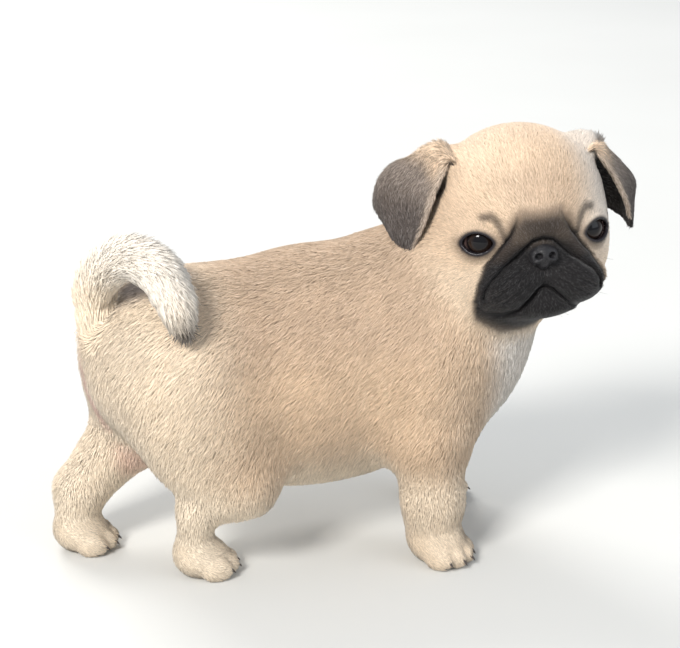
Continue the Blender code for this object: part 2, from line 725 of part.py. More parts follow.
def make_ear(word, side, collection, material):
    """A folded flap over the places of an ear, thickened to its leather and rounded."""
    places = ear_places(word)
    mesh = bpy.data.meshes.new("ear_" + word)
    bm = bmesh.new()
    bmesh.ops.create_grid(bm, x_segments=EAR_COLUMNS - 1, y_segments=EAR_RINGS - 1, size=1.0)
    for vert in bm.verts:
        ring = round((vert.co.y + 1) / 2 * (EAR_RINGS - 1))
        column = round((vert.co.x + 1) / 2 * (EAR_COLUMNS - 1))
        x, y, z = places[ring, column]
        vert.co = head_matrix() @ Vector((x, side * y, z))
    if side < 0:
        bmesh.ops.reverse_faces(bm, faces=bm.faces)
    bm.to_mesh(mesh)
    bm.free()
    obj = add_object("ear_" + word, mesh, collection, material)
    shell = obj.modifiers.new("Thickness", "SOLIDIFY")
    shell.thickness = EAR_THICKNESS
    shell.offset = 0.0
    bake_modifiers(obj)
    bevel = obj.modifiers.new("Rim", "BEVEL")
    bevel.width = EAR_THICKNESS * EAR_BEVEL
    bevel.segments = 1
    bevel.limit_method = "ANGLE"
    bevel.angle_limit = math.radians(60)
    bake_modifiers(obj)
    return obj


def make_claws(leg, collection):
    (x, y, _), _ = LEGS[leg][0][-1]
    place = Matrix.Translation((x, y, 0.0)) @ Matrix.Rotation(math.radians(PAW_YAW[leg]), 4, "Z")
    claws = []
    for i, (toe_x, toe_y) in enumerate(TOE_PLACES):
        root = Matrix.Translation((toe_x + TOE[0] * 0.80, toe_y * 1.04, TOE[2] * 0.72))
        turn = Matrix.Rotation(math.radians(90 + CLAW_DROOP), 4, "Y")
        bm = bmesh.new()
        bmesh.ops.create_cone(bm, cap_ends=True, segments=8, radius1=CLAW_RADIUS, radius2=CLAW_RADIUS * 0.3,
                              depth=CLAW_LENGTH, matrix=place @ root @ turn)
        mesh = bpy.data.meshes.new(f"claw_{i}")
        bm.to_mesh(mesh)
        bm.free()
        claws.append(add_object(f"claw_{i}", mesh, collection))
    return claws


def divide(body, head, collection, cutters):
    """Cuts the two forms into named nodes that meet across thin gaps."""
    cut(head, beyond("below_head", NECK_TOP_CUT, -1, cutters))
    floor = beyond("floor", ((0.0, 0.0, -GAP / 2), (0.0, 0.0, 1.0)), -1, cutters)
    legs = {}
    for leg in LEGS:
        legs[leg] = copy_of(body, leg, collection)
        cut(legs[leg], leg_block(leg, 0.0, cutters), "INTERSECT")
    for leg in LEGS:
        cut(body, leg_block(leg, GAP, cutters))
    above_paws = ((0.0, 0.0, PAW_CUT_HEIGHT), (0.0, 0.0, 1.0))
    for leg, obj in legs.items():
        paw_name = leg.replace("foreleg", "forepaw").replace("hind_leg", "hind_paw")
        foot = copy_of(obj, paw_name, collection)
        cut(foot, beyond("above_" + paw_name, above_paws, 1, cutters))
        cut(obj, beyond("below_" + leg, above_paws, -1, cutters))
        joined(foot, make_claws(leg, cutters))
        cut(foot, floor)
    cut(body, beyond("above_neck", NECK_TOP_CUT, 1, cutters))
    neck = copy_of(body, "neck", collection)
    cut(neck, beyond("below_neck", NECK_BASE_CUT, -1, cutters))
    cut(body, beyond("above_chest", NECK_BASE_CUT, 1, cutters))
    rump = copy_of(body, "rump", collection)
    cut(rump, beyond("before_rump", RUMP_CUT, 1, cutters))
    belly = copy_of(body, "belly", collection)
    cut(belly, beyond("behind_belly", RUMP_CUT, -1, cutters))
    cut(belly, beyond("before_belly", CHEST_CUT, 1, cutters))
    cut(body, beyond("behind_chest", CHEST_CUT, -1, cutters))
    body.name = "chest"


def set_origin(collection):
    """Moves the whole puppy so that the origin is under the middle of its box."""
    points = np.vstack([coordinates(obj.data) for obj in collection.objects])
    low, high = points.min(axis=0), points.max(axis=0)
    middle = (low + high) / 2
    for obj in collection.objects:
        obj.data.transform(Matrix.Translation((-middle[0], -middle[1], 0.0)))


def main():
    clear_scene()
    puppy = make_collection("pug_puppy")
    cutters = make_collection("cutters")
    cutters.hide_render = True
    coat = make_material("fawn_coat", (0.62, 0.45, 0.30), 0.85)
    black = make_material("black_ear_coat", (0.06, 0.05, 0.05), 0.8)
    leather = make_material("nose_leather", (0.015, 0.014, 0.015), 0.35)
    wet = make_material("dark_eye", (0.02, 0.01, 0.008), 0.05)
    head = make_head_form(puppy, coat)
    body = make_body_form(puppy, coat)
    uncut_body = grown(body, GAP, cutters)
    divide(body, head, puppy, cutters)
    make_tail(puppy, cutters, coat, uncut_body)
    for side, word in ((1, "left"), (-1, "right")):
        cut(head, head_ball("socket_" + word, EYE, EYE_RADIUS + GAP, side, cutters))
        head_ball("eye_" + word, EYE, EYE_RADIUS, side, puppy, wet)
    nose = make_nose(puppy, leather)
    cut(head, grown(nose, GAP, cutters))
    bare_head = grown(head, GAP, cutters)
    for side, word in ((1, "left"), (-1, "right")):
        ear = make_ear(word, side, puppy, black)
        # The exact solver loses an ear here, where two grown surfaces nearly coincide
        cut(ear, uncut_body, solver="MANIFOLD")
        cut(ear, bare_head, solver="MANIFOLD")
    for obj in list(cutters.objects):
        bpy.data.objects.remove(obj)
    for obj in puppy.objects:
        obj.data.shade_smooth()
    set_origin(puppy)


main()
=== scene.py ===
# A fawn pug puppy of about eight weeks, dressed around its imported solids.
# Metres. Forms are placed in the puppy's own modelling frame, then moved onto the solids at the end.
import math

import bmesh
import bpy
import numpy as np
from mathutils import Matrix, Vector


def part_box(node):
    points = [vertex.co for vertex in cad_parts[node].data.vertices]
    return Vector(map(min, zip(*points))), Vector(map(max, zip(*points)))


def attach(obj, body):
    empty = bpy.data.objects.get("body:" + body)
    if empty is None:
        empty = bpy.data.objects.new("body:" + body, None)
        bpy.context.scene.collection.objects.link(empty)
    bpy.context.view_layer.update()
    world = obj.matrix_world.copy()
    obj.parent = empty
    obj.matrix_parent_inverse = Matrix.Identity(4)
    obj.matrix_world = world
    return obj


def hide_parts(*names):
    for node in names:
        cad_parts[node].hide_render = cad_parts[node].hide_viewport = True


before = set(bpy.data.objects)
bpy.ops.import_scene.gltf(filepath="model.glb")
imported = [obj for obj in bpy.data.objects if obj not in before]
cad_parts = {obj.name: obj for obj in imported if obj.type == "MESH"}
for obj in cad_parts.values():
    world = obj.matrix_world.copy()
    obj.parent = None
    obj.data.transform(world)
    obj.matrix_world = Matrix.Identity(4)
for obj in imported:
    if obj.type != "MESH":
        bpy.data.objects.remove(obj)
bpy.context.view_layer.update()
scene = bpy.context.scene

sides = {"left": 1, "right": -1}

# The forms under the coat, the same as in the solids

torso = (  # centre, half sizes, yaw in degrees, blend with what is before it
    ((0.007, 0.006, 0.089), (0.062, 0.049, 0.057), -5, 0.000),
    ((-0.036, 0.008, 0.084), (0.056, 0.050, 0.053), 4, 0.030),
    ((-0.082, 0.000, 0.098), (0.041, 0.041, 0.042), 14, 0.030),
    ((0.050, -0.006, 0.108), (0.042, 0.038, 0.034), -12, 0.026),
    ((0.050, -0.004, 0.089), (0.034, 0.034, 0.035), -14, 0.024),
)
neck = {"joints": (((0.040, 0.003, 0.116), 0.037), ((0.070, -0.008, 0.142), 0.034)), "blend": 0.022}

# Each leg: its joints with their radii from the top down, its muscle (centre, half sizes, pitch),
# and the yaw of its paw
legs = {
    "foreRight": {
        "joints": (((0.035, -0.030, 0.092), 0.025), ((0.033, -0.037, 0.062), 0.0200),
                   ((0.0350, -0.0405, 0.030), 0.0145), ((0.0350, -0.0410, 0.014), 0.0132)),
        "muscle": ((0.036, -0.030, 0.088), (0.027, 0.021, 0.042), 0.0),
        "pawYaw": -52.0,
    },
    "foreLeft": {
        "joints": (((0.040, 0.030, 0.092), 0.025), ((0.042, 0.033, 0.062), 0.0205),
                   ((0.051, 0.030, 0.030), 0.0142), ((0.055, 0.029, 0.014), 0.0132)),
        "muscle": ((0.040, 0.028, 0.088), (0.027, 0.021, 0.040), 0.0),
        "pawYaw": -6.0,
    },
    "hindRight": {
        "joints": (((-0.078, -0.022, 0.095), 0.030), ((-0.057, -0.033, 0.047), 0.0180),
                   ((-0.0765, -0.0300, 0.032), 0.0092), ((-0.0790, -0.0290, 0.013), 0.0090)),
        "muscle": ((-0.071, -0.026, 0.076), (0.032, 0.024, 0.042), 12.0),
        "pawYaw": -4.0,
    },
    "hindLeft": {
        "joints": (((-0.090, 0.020, 0.095), 0.029), ((-0.094, 0.025, 0.061), 0.0205),
                   ((-0.1255, 0.017, 0.0295), 0.0125), ((-0.1300, 0.014, 0.013), 0.0098)),
        "muscle": ((-0.093, 0.023, 0.080), (0.025, 0.021, 0.040), 4.0),
        "pawYaw": -16.0,
    },
}
legSize = {"blend": 0.014, "reach": 0.100}
paw = {
    "pad": ((0.004, 0.0, 0.0085), (0.0130, 0.0122, 0.0098)),
    "toe": (0.0078, 0.0046, 0.0064),
    "toes": ((0.0095, -0.0094), (0.0132, -0.0033), (0.0132, 0.0033), (0.0095, 0.0094)),
    "sink": 0.0012, "blend": 0.006, "toeBlend": 0.0018,
}

# The head has a frame of its own: +X out of the nose, +Y to its left, origin in the skull
head = {
    "place": (0.081, -0.021, 0.163), "yaw": -95.0, "pitch": 5.0, "roll": 4.0,
    "blend": 0.016, "reach": 0.085, "mirrorSoftness": 0.0010,
    "forms": (  # centre, half sizes, blend
        ((-0.003, 0.000, 0.004), (0.0395, 0.0405, 0.0380), 0.000),
        ((0.012, 0.000, 0.009), (0.0255, 0.0310, 0.0260), 0.016),
        ((0.002, 0.0200, -0.018), (0.0275, 0.0205, 0.0240), 0.014),
        ((0.006, 0.000, -0.029), (0.0290, 0.0270, 0.0170), 0.012),
        ((0.022, 0.000, -0.007), (0.0165, 0.0200, 0.0150), 0.010),
        ((0.0220, 0.0180, 0.0040), (0.0090, 0.0095, 0.0065), 0.008),
        ((-0.004, 0.0325, 0.0255), (0.0145, 0.0090, 0.0095), 0.008),
        ((0.0170, 0.000, -0.0268), (0.0220, 0.0306, 0.0162), 0.006),
        ((0.0268, 0.0142, -0.0272), (0.0160, 0.0182, 0.0136), 0.003),
        ((0.0245, 0.000, -0.0370), (0.0160, 0.0215, 0.0088), 0.003),
    ),
    "concha": ((0.0060, 0.0420, 0.0200), (0.0100, 0.0060, 0.0080)),
}
eyes = {
    "place": (0.0230, 0.0243, -0.0062), "radius": 0.0092, "lid": 0.0015, "yaw": 27.0,
    "opening": (0.0152, 0.0092), "cornea": 0.0005, "iris": 0.0054,
    "gaze": {"left": (11.0, 8.0), "right": (-18.0, 3.0)},  # yaw and pitch in the head's frame
}
nose = {
    "place": (0.0372, 0.0, -0.0128), "half": (0.0062, 0.0056, 0.0053),
    "wing": ((0.0015, 0.0040, -0.0008), (0.0042, 0.0026, 0.0038)),
    "foot": ((-0.0008, 0.0, -0.0046), (0.0046, 0.0026, 0.0030)),  # its narrow lower end
    "nostril": ((0.0058, 0.0031, -0.0003), (0.0034, 0.0017, 0.0015)),
    "slit": ((0.0060, 0.0035, -0.0006), (0.0045, 0.0059, -0.0030), 0.0009, 0.0005),
    "seam": (0.0008, 0.0005, -0.0015),  # depth, half width, and the height it ends at
    "voxel": 0.00034,
}
noseRoll = {
    "path": ((0.0360, 0.0000, -0.0005), (0.0360, 0.0070, -0.0030), (0.0335, 0.0140, -0.0095),
             (0.0300, 0.0205, -0.0170), (0.0255, 0.0250, -0.0255)),
    "radius": 0.0042, "blend": 0.0030,
}
# Sunk lines of the face as places across and up from the front, with depth and half width
innerFold = ((0.0000, -0.0056), (0.0046, -0.0068), (0.0084, -0.0102), (0.0120, -0.0138),
             (0.0188, -0.0192), (0.0235, -0.0228), (0.0265, -0.0270), (0.0272, -0.0310))
outerFold = ((0.0100, 0.0060), (0.0110, 0.0025), (0.0140, -0.0040), (0.0235, -0.0154),
             (0.0289, -0.0255), (0.0300, -0.0330))
mouthLine = ((0.0000, -0.0270), (0.0036, -0.0292), (0.0078, -0.0336), (0.0120, -0.0378),
             (0.0182, -0.0400), (0.0254, -0.0396), (0.0290, -0.0368))
faceLines = {
    "sunk": (
        (innerFold, 0.0026, 0.0011),
        (outerFold, 0.0017, 0.0011),
        (((0.0, -0.0180), (0.0, -0.0270)), 0.0020, 0.0008),
        (mouthLine, 0.0030, 0.0013),
        (((0.0103, -0.0190), (0.0206, -0.0248)), 0.0006, 0.0006),
        (((0.0079, -0.0212), (0.0230, -0.0300)), 0.0006, 0.0006),
        (((0.0065, -0.0249), (0.0193, -0.0332)), 0.0006, 0.0006),
    ),
    "behind": 0.025, "above": 0.010, "fade": 0.010,
}
tail = {
    "line": (  # centre line with its radius
        ((-0.107, 0.002, 0.106), 0.0125), ((-0.1150, -0.002, 0.124), 0.0110),
        ((-0.1145, -0.008, 0.1405), 0.0105), ((-0.1060, -0.017, 0.1515), 0.0108),
        ((-0.0960, -0.027, 0.1515), 0.0108), ((-0.0895, -0.036, 0.1450), 0.0100),
        ((-0.0855, -0.043, 0.1350), 0.0078), ((-0.0825, -0.046, 0.1245), 0.0016),
    ),
    "steps": 26, "skinEnd": 0.93, "rootBlend": 0.012, "reach": 0.070, "middle": (-0.100, -0.020, 0.132),
}


def rotation(degrees, axis="Z"):
    return Matrix.Rotation(math.radians(degrees), 4, axis)


def headMatrix():
    turn = rotation(head["yaw"]) @ rotation(-head["pitch"], "Y") @ rotation(head["roll"], "X")
    return Matrix.Translation(head["place"]) @ turn


headWorld = np.array(headMatrix())


def toHead(points):
    return (points - headWorld[:3, 3]) @ headWorld[:3, :3]


def toHeadHalf(points):
    # In the head's frame, with y made positive
    q = toHead(points)
    q[:, 1] = np.abs(q[:, 1])
    return q


def fromHead(places):
    return np.asarray(places) @ headWorld[:3, :3].T + headWorld[:3, 3]


def yawMatrix(degrees):
    return np.array(Matrix.Rotation(math.radians(degrees), 3, "Z"))


def pitchMatrix(degrees):
    return np.array(Matrix.Rotation(math.radians(-degrees), 3, "Y"))


def unit(vectors):
    return vectors / np.maximum(np.linalg.norm(vectors, axis=-1, keepdims=True), 1e-9)


def ramp(values, low, high):
    # 0 at low, 1 at high, smooth between; low may be above high
    t = np.clip((values - low) / (high - low), 0.0, 1.0)
    return t * t * (3 - 2 * t)


# The solids' box starts at the middle of the puppy, so the eye says where the modelling frame lies
eyeLow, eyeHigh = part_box("eye_right")
eyeHere = fromHead((eyes["place"][0], -eyes["place"][1], eyes["place"][2]))
shift = (np.array(eyeLow) + np.array(eyeHigh)) / 2 - eyeHere
shift[2] = 0.0


# Distances to the forms, negative inside


def ellipsoid(points, centre, half, turn=None):
    q = points - np.array(centre)
    if turn is not None:
        q = q @ turn
    half = np.array(half)
    k = np.linalg.norm(q / half, axis=1)
    g = np.linalg.norm(q / half**2, axis=1)
    return k * (k - 1.0) / np.maximum(g, 1e-6)


def taper(points, a, b, radiusA, radiusB):
    a, b = np.array(a), np.array(b)
    along = b - a
    t = np.clip((points - a) @ along / (along @ along), 0.0, 1.0)
    return np.linalg.norm(points - a - t[:, None] * along, axis=1) - radiusA - (radiusB - radiusA) * t


def softMin(first, second, blend):
    h = np.maximum(blend - np.abs(first - second), 0.0) / np.maximum(blend, 1e-9)
    return np.minimum(first, second) - h * h * blend / 4.0


def softMax(first, second, blend):
    return -softMin(-first, -second, blend)


def chain(points, joints, blend):
    found = None
    for (a, radiusA), (b, radiusB) in zip(joints, joints[1:]):
        piece = taper(points, a, b, radiusA, radiusB)
        found = piece if found is None else softMin(found, piece, blend)
    return found


def pathDistance(points, path):
    found = np.full(len(points), 1.0)
    for a, b in zip(path, path[1:]):
        found = np.minimum(found, taper(points, a, b, 0.0, 0.0))
    return found


def faceDistance(q, path):
    # Distance to a path of places across and up, seen from the front
    return pathDistance(q * (0.0, 1.0, 1.0), [(0.0, *place) for place in path])


def smoothLine(points, count):
    # A smooth curve through points, read at count even steps of its length
    points = np.array(points, float)
    padded = np.vstack([2 * points[0] - points[1], points, 2 * points[-1] - points[-2]])
    fine = []
    for i in range(len(points) - 1):
        p0, p1, p2, p3 = padded[i:i + 4]
        t = np.linspace(0.0, 1.0, 24, endpoint=False)[:, None]
        fine.append(0.5 * (2 * p1 + (p2 - p0) * t + (2 * p0 - 5 * p1 + 4 * p2 - p3) * t**2
                           + (3 * p1 - p0 - 3 * p2 + p3) * t**3))
    fine = np.vstack([*fine, points[-1:]])
    length = np.concatenate([[0.0], np.cumsum(np.linalg.norm(np.diff(fine[:, :3], axis=0), axis=1))])
    wanted = np.linspace(0.0, length[-1], count)
    return np.stack([np.interp(wanted, length, fine[:, k]) for k in range(fine.shape[1])], axis=1)


tailRows = smoothLine([(*place, radius) for place, radius in tail["line"]], tail["steps"])


def pawField(points, leg):
    (x, y, _), _ = legs[leg]["joints"][-1]
    local = (points - np.array((x, y, 0.0))) @ yawMatrix(legs[leg]["pawYaw"])
    found = ellipsoid(local, *paw["pad"])
    for toeX, toeY in paw["toes"]:
        toe = ellipsoid(local, (toeX, toeY, paw["toe"][2] - paw["sink"]), paw["toe"])
        found = softMin(found, toe, paw["toeBlend"])
    return found


def legField(points, leg):
    centre, half, pitch = legs[leg]["muscle"]
    found = softMin(chain(points, legs[leg]["joints"], 0.006), pawField(points, leg), paw["blend"])
    return softMin(found, ellipsoid(points, centre, half, pitchMatrix(pitch)), 0.012)


def torsoField(points):
    found = None
    for centre, half, yaw, blend in torso:
        piece = ellipsoid(points, centre, half, yawMatrix(yaw))
        found = piece if found is None else softMin(found, piece, blend)
    return softMin(found, chain(points, neck["joints"], 0.01), neck["blend"])


def tailField(points):
    last = int(tail["skinEnd"] * (len(tailRows) - 1))
    found = None
    for a, b in zip(tailRows[:last], tailRows[1:last + 1]):
        piece = taper(points, a[:3], b[:3], a[3], b[3])
        found = piece if found is None else np.minimum(found, piece)
    return found


def eyeCentre(side):
    x, y, z = eyes["place"]
    return headMatrix() @ Vector((x, side * y, z))


def eyeFrame():
    out = np.array((math.cos(math.radians(eyes["yaw"])), math.sin(math.radians(eyes["yaw"])), 0.0))
    return out, np.array((-out[1], out[0], 0.0))


def eyeOpening(q):
    # Negative inside the almond between the lids, seen along the eye's axis
    out, side = eyeFrame()
    rel = q - np.array(eyes["place"])
    across, up, depth = rel @ side, rel[:, 2], rel @ out
    halfWidth, halfHeight = eyes["opening"][0] / 2, eyes["opening"][1] / 2
    radius = (halfWidth**2 + halfHeight**2) / (2 * halfHeight)
    drop = radius - halfHeight
    upper = np.hypot(across, up + drop) - radius
    lower = np.hypot(across, up - drop) - radius
    return np.maximum(softMax(upper, lower, 0.001), -depth + eyes["radius"] * 0.35)


def lineSink(q):
    # How far the sunk lines lower the face. q has y made positive
    sunk = np.zeros(len(q))
    for path, depth, width in faceLines["sunk"]:
        sunk = np.maximum(sunk, depth * np.exp(-((faceDistance(q, path) / width) ** 2)))
    sunk *= np.clip((q[:, 0] - faceLines["behind"]) / faceLines["fade"], 0.0, 1.0)
    return sunk * np.clip((faceLines["above"] - q[:, 2]) / faceLines["fade"], 0.0, 1.0)


def headField(points):
    q = toHead(points)
    q[:, 1] = np.sqrt(q[:, 1] ** 2 + head["mirrorSoftness"] ** 2)
    found = None
    for centre, half, blend in head["forms"]:
        piece = ellipsoid(q, centre, half)
        found = piece if found is None else softMin(found, piece, blend)
    lids = np.linalg.norm(q - np.array(eyes["place"]), axis=1) - eyes["radius"] - eyes["lid"]
    found = softMin(found, lids, 0.005)
    found = softMin(found, pathDistance(q, noseRoll["path"]) - noseRoll["radius"], noseRoll["blend"])
    found = softMax(found, -ellipsoid(q, *head["concha"]), 0.0020)
    return softMax(found + lineSink(q), -eyeOpening(q), 0.0006)


def near(points, centre, reach):
    return np.flatnonzero(np.linalg.norm(points - np.array(centre), axis=1) < reach)


def bodyField(points):
    found = torsoField(points)
    for leg in legs:
        here = near(points, legs[leg]["joints"][1][0], legSize["reach"])
        found[here] = softMin(found[here], legField(points[here], leg), legSize["blend"])
    here = near(points, head["place"], head["reach"])
    found[here] = softMin(found[here], headField(points[here]), head["blend"])
    return found


# How thick the coat is over the skin

coatDepth = {
    "body": 0.0018, "head": 0.0012, "face": 0.0005, "legs": 0.0012, "paws": 0.0007, "tail": 0.0034,
    "lids": 0.0,
}


def faceShare(q):
    # 1 on the muzzle and round the eyes, 0 from the temples back
    return ramp(q[:, 0], 0.010, 0.024) * ramp(q[:, 2], 0.014, 0.002)


def lidShare(q, far=0.0030, close=0.0008):
    # 1 within close of the eye's opening, 0 beyond far. q has y made positive
    return ramp(eyeOpening(q), far, close) * ramp(q[:, 0], 0.018, 0.022)


def coatThickness(points):
    found = np.full(len(points), coatDepth["body"])
    low = ramp(points[:, 2], 0.062, 0.034)
    found += (coatDepth["legs"] - found) * low
    found += (coatDepth["paws"] - found) * ramp(points[:, 2], 0.024, 0.014)
    here = near(points, head["place"], head["reach"])
    q = toHeadHalf(points[here])
    onHead = ramp(np.linalg.norm(q, axis=1), 0.066, 0.050)
    part = found[here]
    part += (coatDepth["head"] - part) * onHead
    part += (coatDepth["face"] - part) * faceShare(q) * onHead
    part += (coatDepth["lids"] - part) * lidShare(q)
    found[here] = part
    return found


def skinField(points):
    found = bodyField(points) + coatThickness(points)
    here = near(points, tail["middle"], tail["reach"])
    onTail = tailField(points[here]) + coatDepth["tail"]
    rootNear = ramp(np.linalg.norm(points[here] - tailRows[0, :3], axis=1), 0.034, 0.016)
    found[here] = softMin(found[here], onTail, 0.0008 + tail["rootBlend"] * rootNear)
    return found


# Meshes


def meshFrom(bm, name):
    mesh = bpy.data.meshes.new(name)
    bm.to_mesh(mesh)
    bm.free()
    return mesh


def setMaterial(mesh, material):
    mesh.materials.clear()
    mesh.materials.append(material)


def addPiece(name, mesh, material=None):
    piece = bpy.data.objects.new(name, mesh)
    scene.collection.objects.link(piece)
    if material:
        setMaterial(mesh, material)
    return piece


def evaluatedMesh(piece):
    bpy.context.view_layer.update()
    graph = bpy.context.evaluated_depsgraph_get()
    return bpy.data.meshes.new_from_object(piece.evaluated_get(graph), preserve_all_data_layers=True,
                                           depsgraph=graph)


def bake(piece):
    mesh, old = evaluatedMesh(piece), piece.data
    piece.modifiers.clear()
    piece.data = mesh
    bpy.data.meshes.remove(old)


def readAll(data, name, width=1, kind=float):
    found = np.empty(len(data) * width, kind)
    data.foreach_get(name, found)
    return found.reshape(-1, width) if width > 1 else found


def getCoordinates(mesh):
    return readAll(mesh.vertices, "co", 3)


def getNormals(mesh):
    return readAll(mesh.vertex_normals, "vector", 3)


def setCoordinates(mesh, points):
    mesh.vertices.foreach_set("co", points.ravel())
    mesh.update()


def keepAbove(mesh, floor):
    points = getCoordinates(mesh)
    points[:, 2] = np.maximum(points[:, 2], floor)
    setCoordinates(mesh, points)


def settle(mesh, field, rounds, relax, share=1.0, limit=0.0015):
    # Moves each vertex along its normal onto the field's surface, evening out the mesh as it goes
    ends = readAll(mesh.edges, "vertices", 2, np.int64)
    ends = np.concatenate([ends, ends[:, ::-1]])
    count = len(mesh.vertices)
    degree = np.bincount(ends[:, 0], minlength=count)
    for _ in range(rounds):
        points = getCoordinates(mesh)
        if relax:
            sums = [np.bincount(ends[:, 0], points[ends[:, 1], axis], count) for axis in range(3)]
            points += relax * (np.stack(sums, axis=1) / degree[:, None] - points)
            setCoordinates(mesh, points)
        step = np.clip(field(points) * share, -limit, limit)
        setCoordinates(mesh, points - getNormals(mesh) * step[:, None])


def voxelRemesh(piece, voxel):
    remesh = piece.modifiers.new("Remesh", "REMESH")
    remesh.mode = "VOXEL"
    remesh.voxel_size = voxel
    bake(piece)


def ballsPiece(name, balls):
    # One mesh of overlapping balls, each a matrix that places a unit sphere
    bm = bmesh.new()
    bmesh.ops.create_uvsphere(bm, u_segments=24, v_segments=14, radius=1.0)
    ball = meshFrom(bm, "ball")
    bm = bmesh.new()
    for place in balls:
        placed = ball.copy()
        placed.transform(place)
        bm.from_mesh(placed)
        bpy.data.meshes.remove(placed)
    bpy.data.meshes.remove(ball)
    return addPiece(name, meshFrom(bm, name))


def ballAt(centre, half, turn=Matrix.Identity(4)):
    return Matrix.Translation(centre) @ turn @ Matrix.Diagonal((*half, 1.0))


def chainBalls(joints, thinner=0.0):
    balls = []
    for (a, radiusA), (b, radiusB) in zip(joints, joints[1:]):
        steps = max(2, int((Vector(b) - Vector(a)).length / 0.008))
        for i in range(steps + 1):
            t = i / steps
            radius = max(radiusA + (radiusB - radiusA) * t - thinner, 0.001)
            balls.append(ballAt(Vector(a).lerp(Vector(b), t), (radius,) * 3))
    return balls


def pawMatrix(leg):
    (x, y, _), _ = leg["joints"][-1]
    return Matrix.Translation((x, y, 0.0)) @ rotation(leg["pawYaw"])


def startBalls():
    balls = []
    for centre, half, yaw, _ in torso:
        balls.append(ballAt(centre, [size - coatDepth["body"] for size in half], rotation(yaw)))
    balls += chainBalls(neck["joints"], coatDepth["body"])
    for leg in legs.values():
        balls += chainBalls(leg["joints"], coatDepth["legs"])
        centre, half, pitch = leg["muscle"]
        balls.append(ballAt(centre, half, rotation(-pitch, "Y")))
        place, turn = pawMatrix(leg), rotation(leg["pawYaw"])
        balls.append(ballAt(place @ Vector(paw["pad"][0]), paw["pad"][1], turn))
        for toeX, toeY in paw["toes"]:
            toe = place @ Vector((toeX, toeY, paw["toe"][2] - paw["sink"]))
            balls.append(ballAt(toe, paw["toe"], turn))
    world = headMatrix()
    turn = world.to_quaternion().to_matrix().to_4x4()
    for side in sides.values():
        for centre, half, _ in head["forms"]:
            balls.append(ballAt(world @ Vector((centre[0], side * centre[1], centre[2])), half, turn))
        balls.append(ballAt(eyeCentre(side), (eyes["radius"] + eyes["lid"],) * 3))
    last = int(tail["skinEnd"] * (len(tailRows) - 1))
    joints = [(row[:3], row[3]) for row in tailRows[:last + 1]]
    return balls + chainBalls(joints, coatDepth["tail"])


def refine(mesh, wanted):
    # Splits each face whose middle is wanted into four
    bm = bmesh.new()
    bm.from_mesh(mesh)
    bm.faces.ensure_lookup_table()
    centres = np.array([face.calc_center_median() for face in bm.faces])
    chosen = wanted(centres)
    edges = {edge for face, pick in zip(bm.faces, chosen) if pick for edge in face.edges}
    bmesh.ops.subdivide_edges(bm, edges=list(edges), cuts=1, use_grid_fill=True)
    bm.to_mesh(mesh)
    bm.free()


skinMesh = {
    "firstVoxel": 0.0026, "voxel": 0.0017,
    "face": ((0.022, 0.0, -0.016), (0.030, 0.044, 0.036)),  # refined once: centre and half sizes
    "features": 0.0036,  # refined again within this far of the eyes' openings and the face's lines
}


def onFace(points):
    return ellipsoid(toHead(points), *skinMesh["face"]) < 0.0


def onFeatures(points):
    q = toHeadHalf(points)
    away = np.abs(eyeOpening(q)) + np.maximum(0.018 - q[:, 0], 0.0)
    for path, _, _ in faceLines["sunk"]:
        away = np.minimum(away, faceDistance(q, path) + np.maximum(0.020 - q[:, 0], 0.0))
    return onFace(points) & (away < skinMesh["features"])


def unwrap(piece, name):
    bpy.ops.object.select_all(action="DESELECT")
    piece.select_set(True)
    bpy.context.view_layer.objects.active = piece
    piece.data.uv_layers.new(name=name)
    bpy.ops.object.mode_set(mode="EDIT")
    bpy.ops.mesh.select_all(action="SELECT")
    bpy.ops.uv.smart_project(angle_limit=math.radians(66), island_margin=0.002)
    bpy.ops.object.mode_set(mode="OBJECT")


def growSkin():
    piece = ballsPiece("skin", startBalls())
    voxelRemesh(piece, skinMesh["firstVoxel"])
    settle(piece.data, skinField, 12, relax=0.6)
    voxelRemesh(piece, skinMesh["voxel"])
    settle(piece.data, skinField, 6, relax=0.4)
    unwrap(piece, "skinMap")
    refine(piece.data, onFace)
    settle(piece.data, skinField, 6, relax=0.3, share=0.5, limit=0.0005)
    refine(piece.data, onFeatures)
    settle(piece.data, skinField, 10, relax=0.25, share=0.4, limit=0.0003)
    settle(piece.data, skinField, 3, relax=0.05, share=0.4, limit=0.0003)
    return piece


# The lie of the coat and the size of its hairs

coat = {
    # length, width and lift of a tuft in millimetres, and how densely tufts stand
    "back": (6.0, 0.40, 1.0, 2.6), "flank": (5.8, 0.40, 1.0, 2.6), "belly": (6.0, 0.42, 1.2, 2.1),
    "throat": (7.0, 0.42, 1.5, 2.5), "thigh": (7.0, 0.42, 1.5, 2.5), "legs": (4.2, 0.38, 0.9, 2.6),
    "paws": (2.4, 0.30, 0.5, 3.6), "skull": (3.8, 0.31, 0.62, 4.0), "cheek": (4.2, 0.33, 0.80, 4.0),
    "earRoot": (7.0, 0.34, 2.2, 4.0),
    "face": (2.0, 0.23, 0.32, 6.8), "muzzle": (1.5, 0.19, 0.22, 8.5), "tail": (11.0, 0.40, 2.6, 3.9),
    "perSquareMetre": 0.9e6,  # tufts to a square metre for each one in the lists above
    "seed": 7, "pieceTufts": 46000, "patch": 0.003, "floor": 0.0002,
    "skinShade": 0.6,  # how far the tufts' normals lean to the skin's
}


# Where each kind of coat sets in on the body: what is measured, with its values at none and at all
coatZones = (
    ("back", (("up", 0.2, 0.7),)),
    ("belly", (("up", -0.2, -0.7),)),
    ("thigh", (("x", -0.055, -0.095), ("z", 0.13, 0.09))),
    ("throat", (("x", 0.030, 0.060),)),
    ("legs", (("z", 0.060, 0.036),)),
    ("paws", (("z", 0.024, 0.014),)),
)


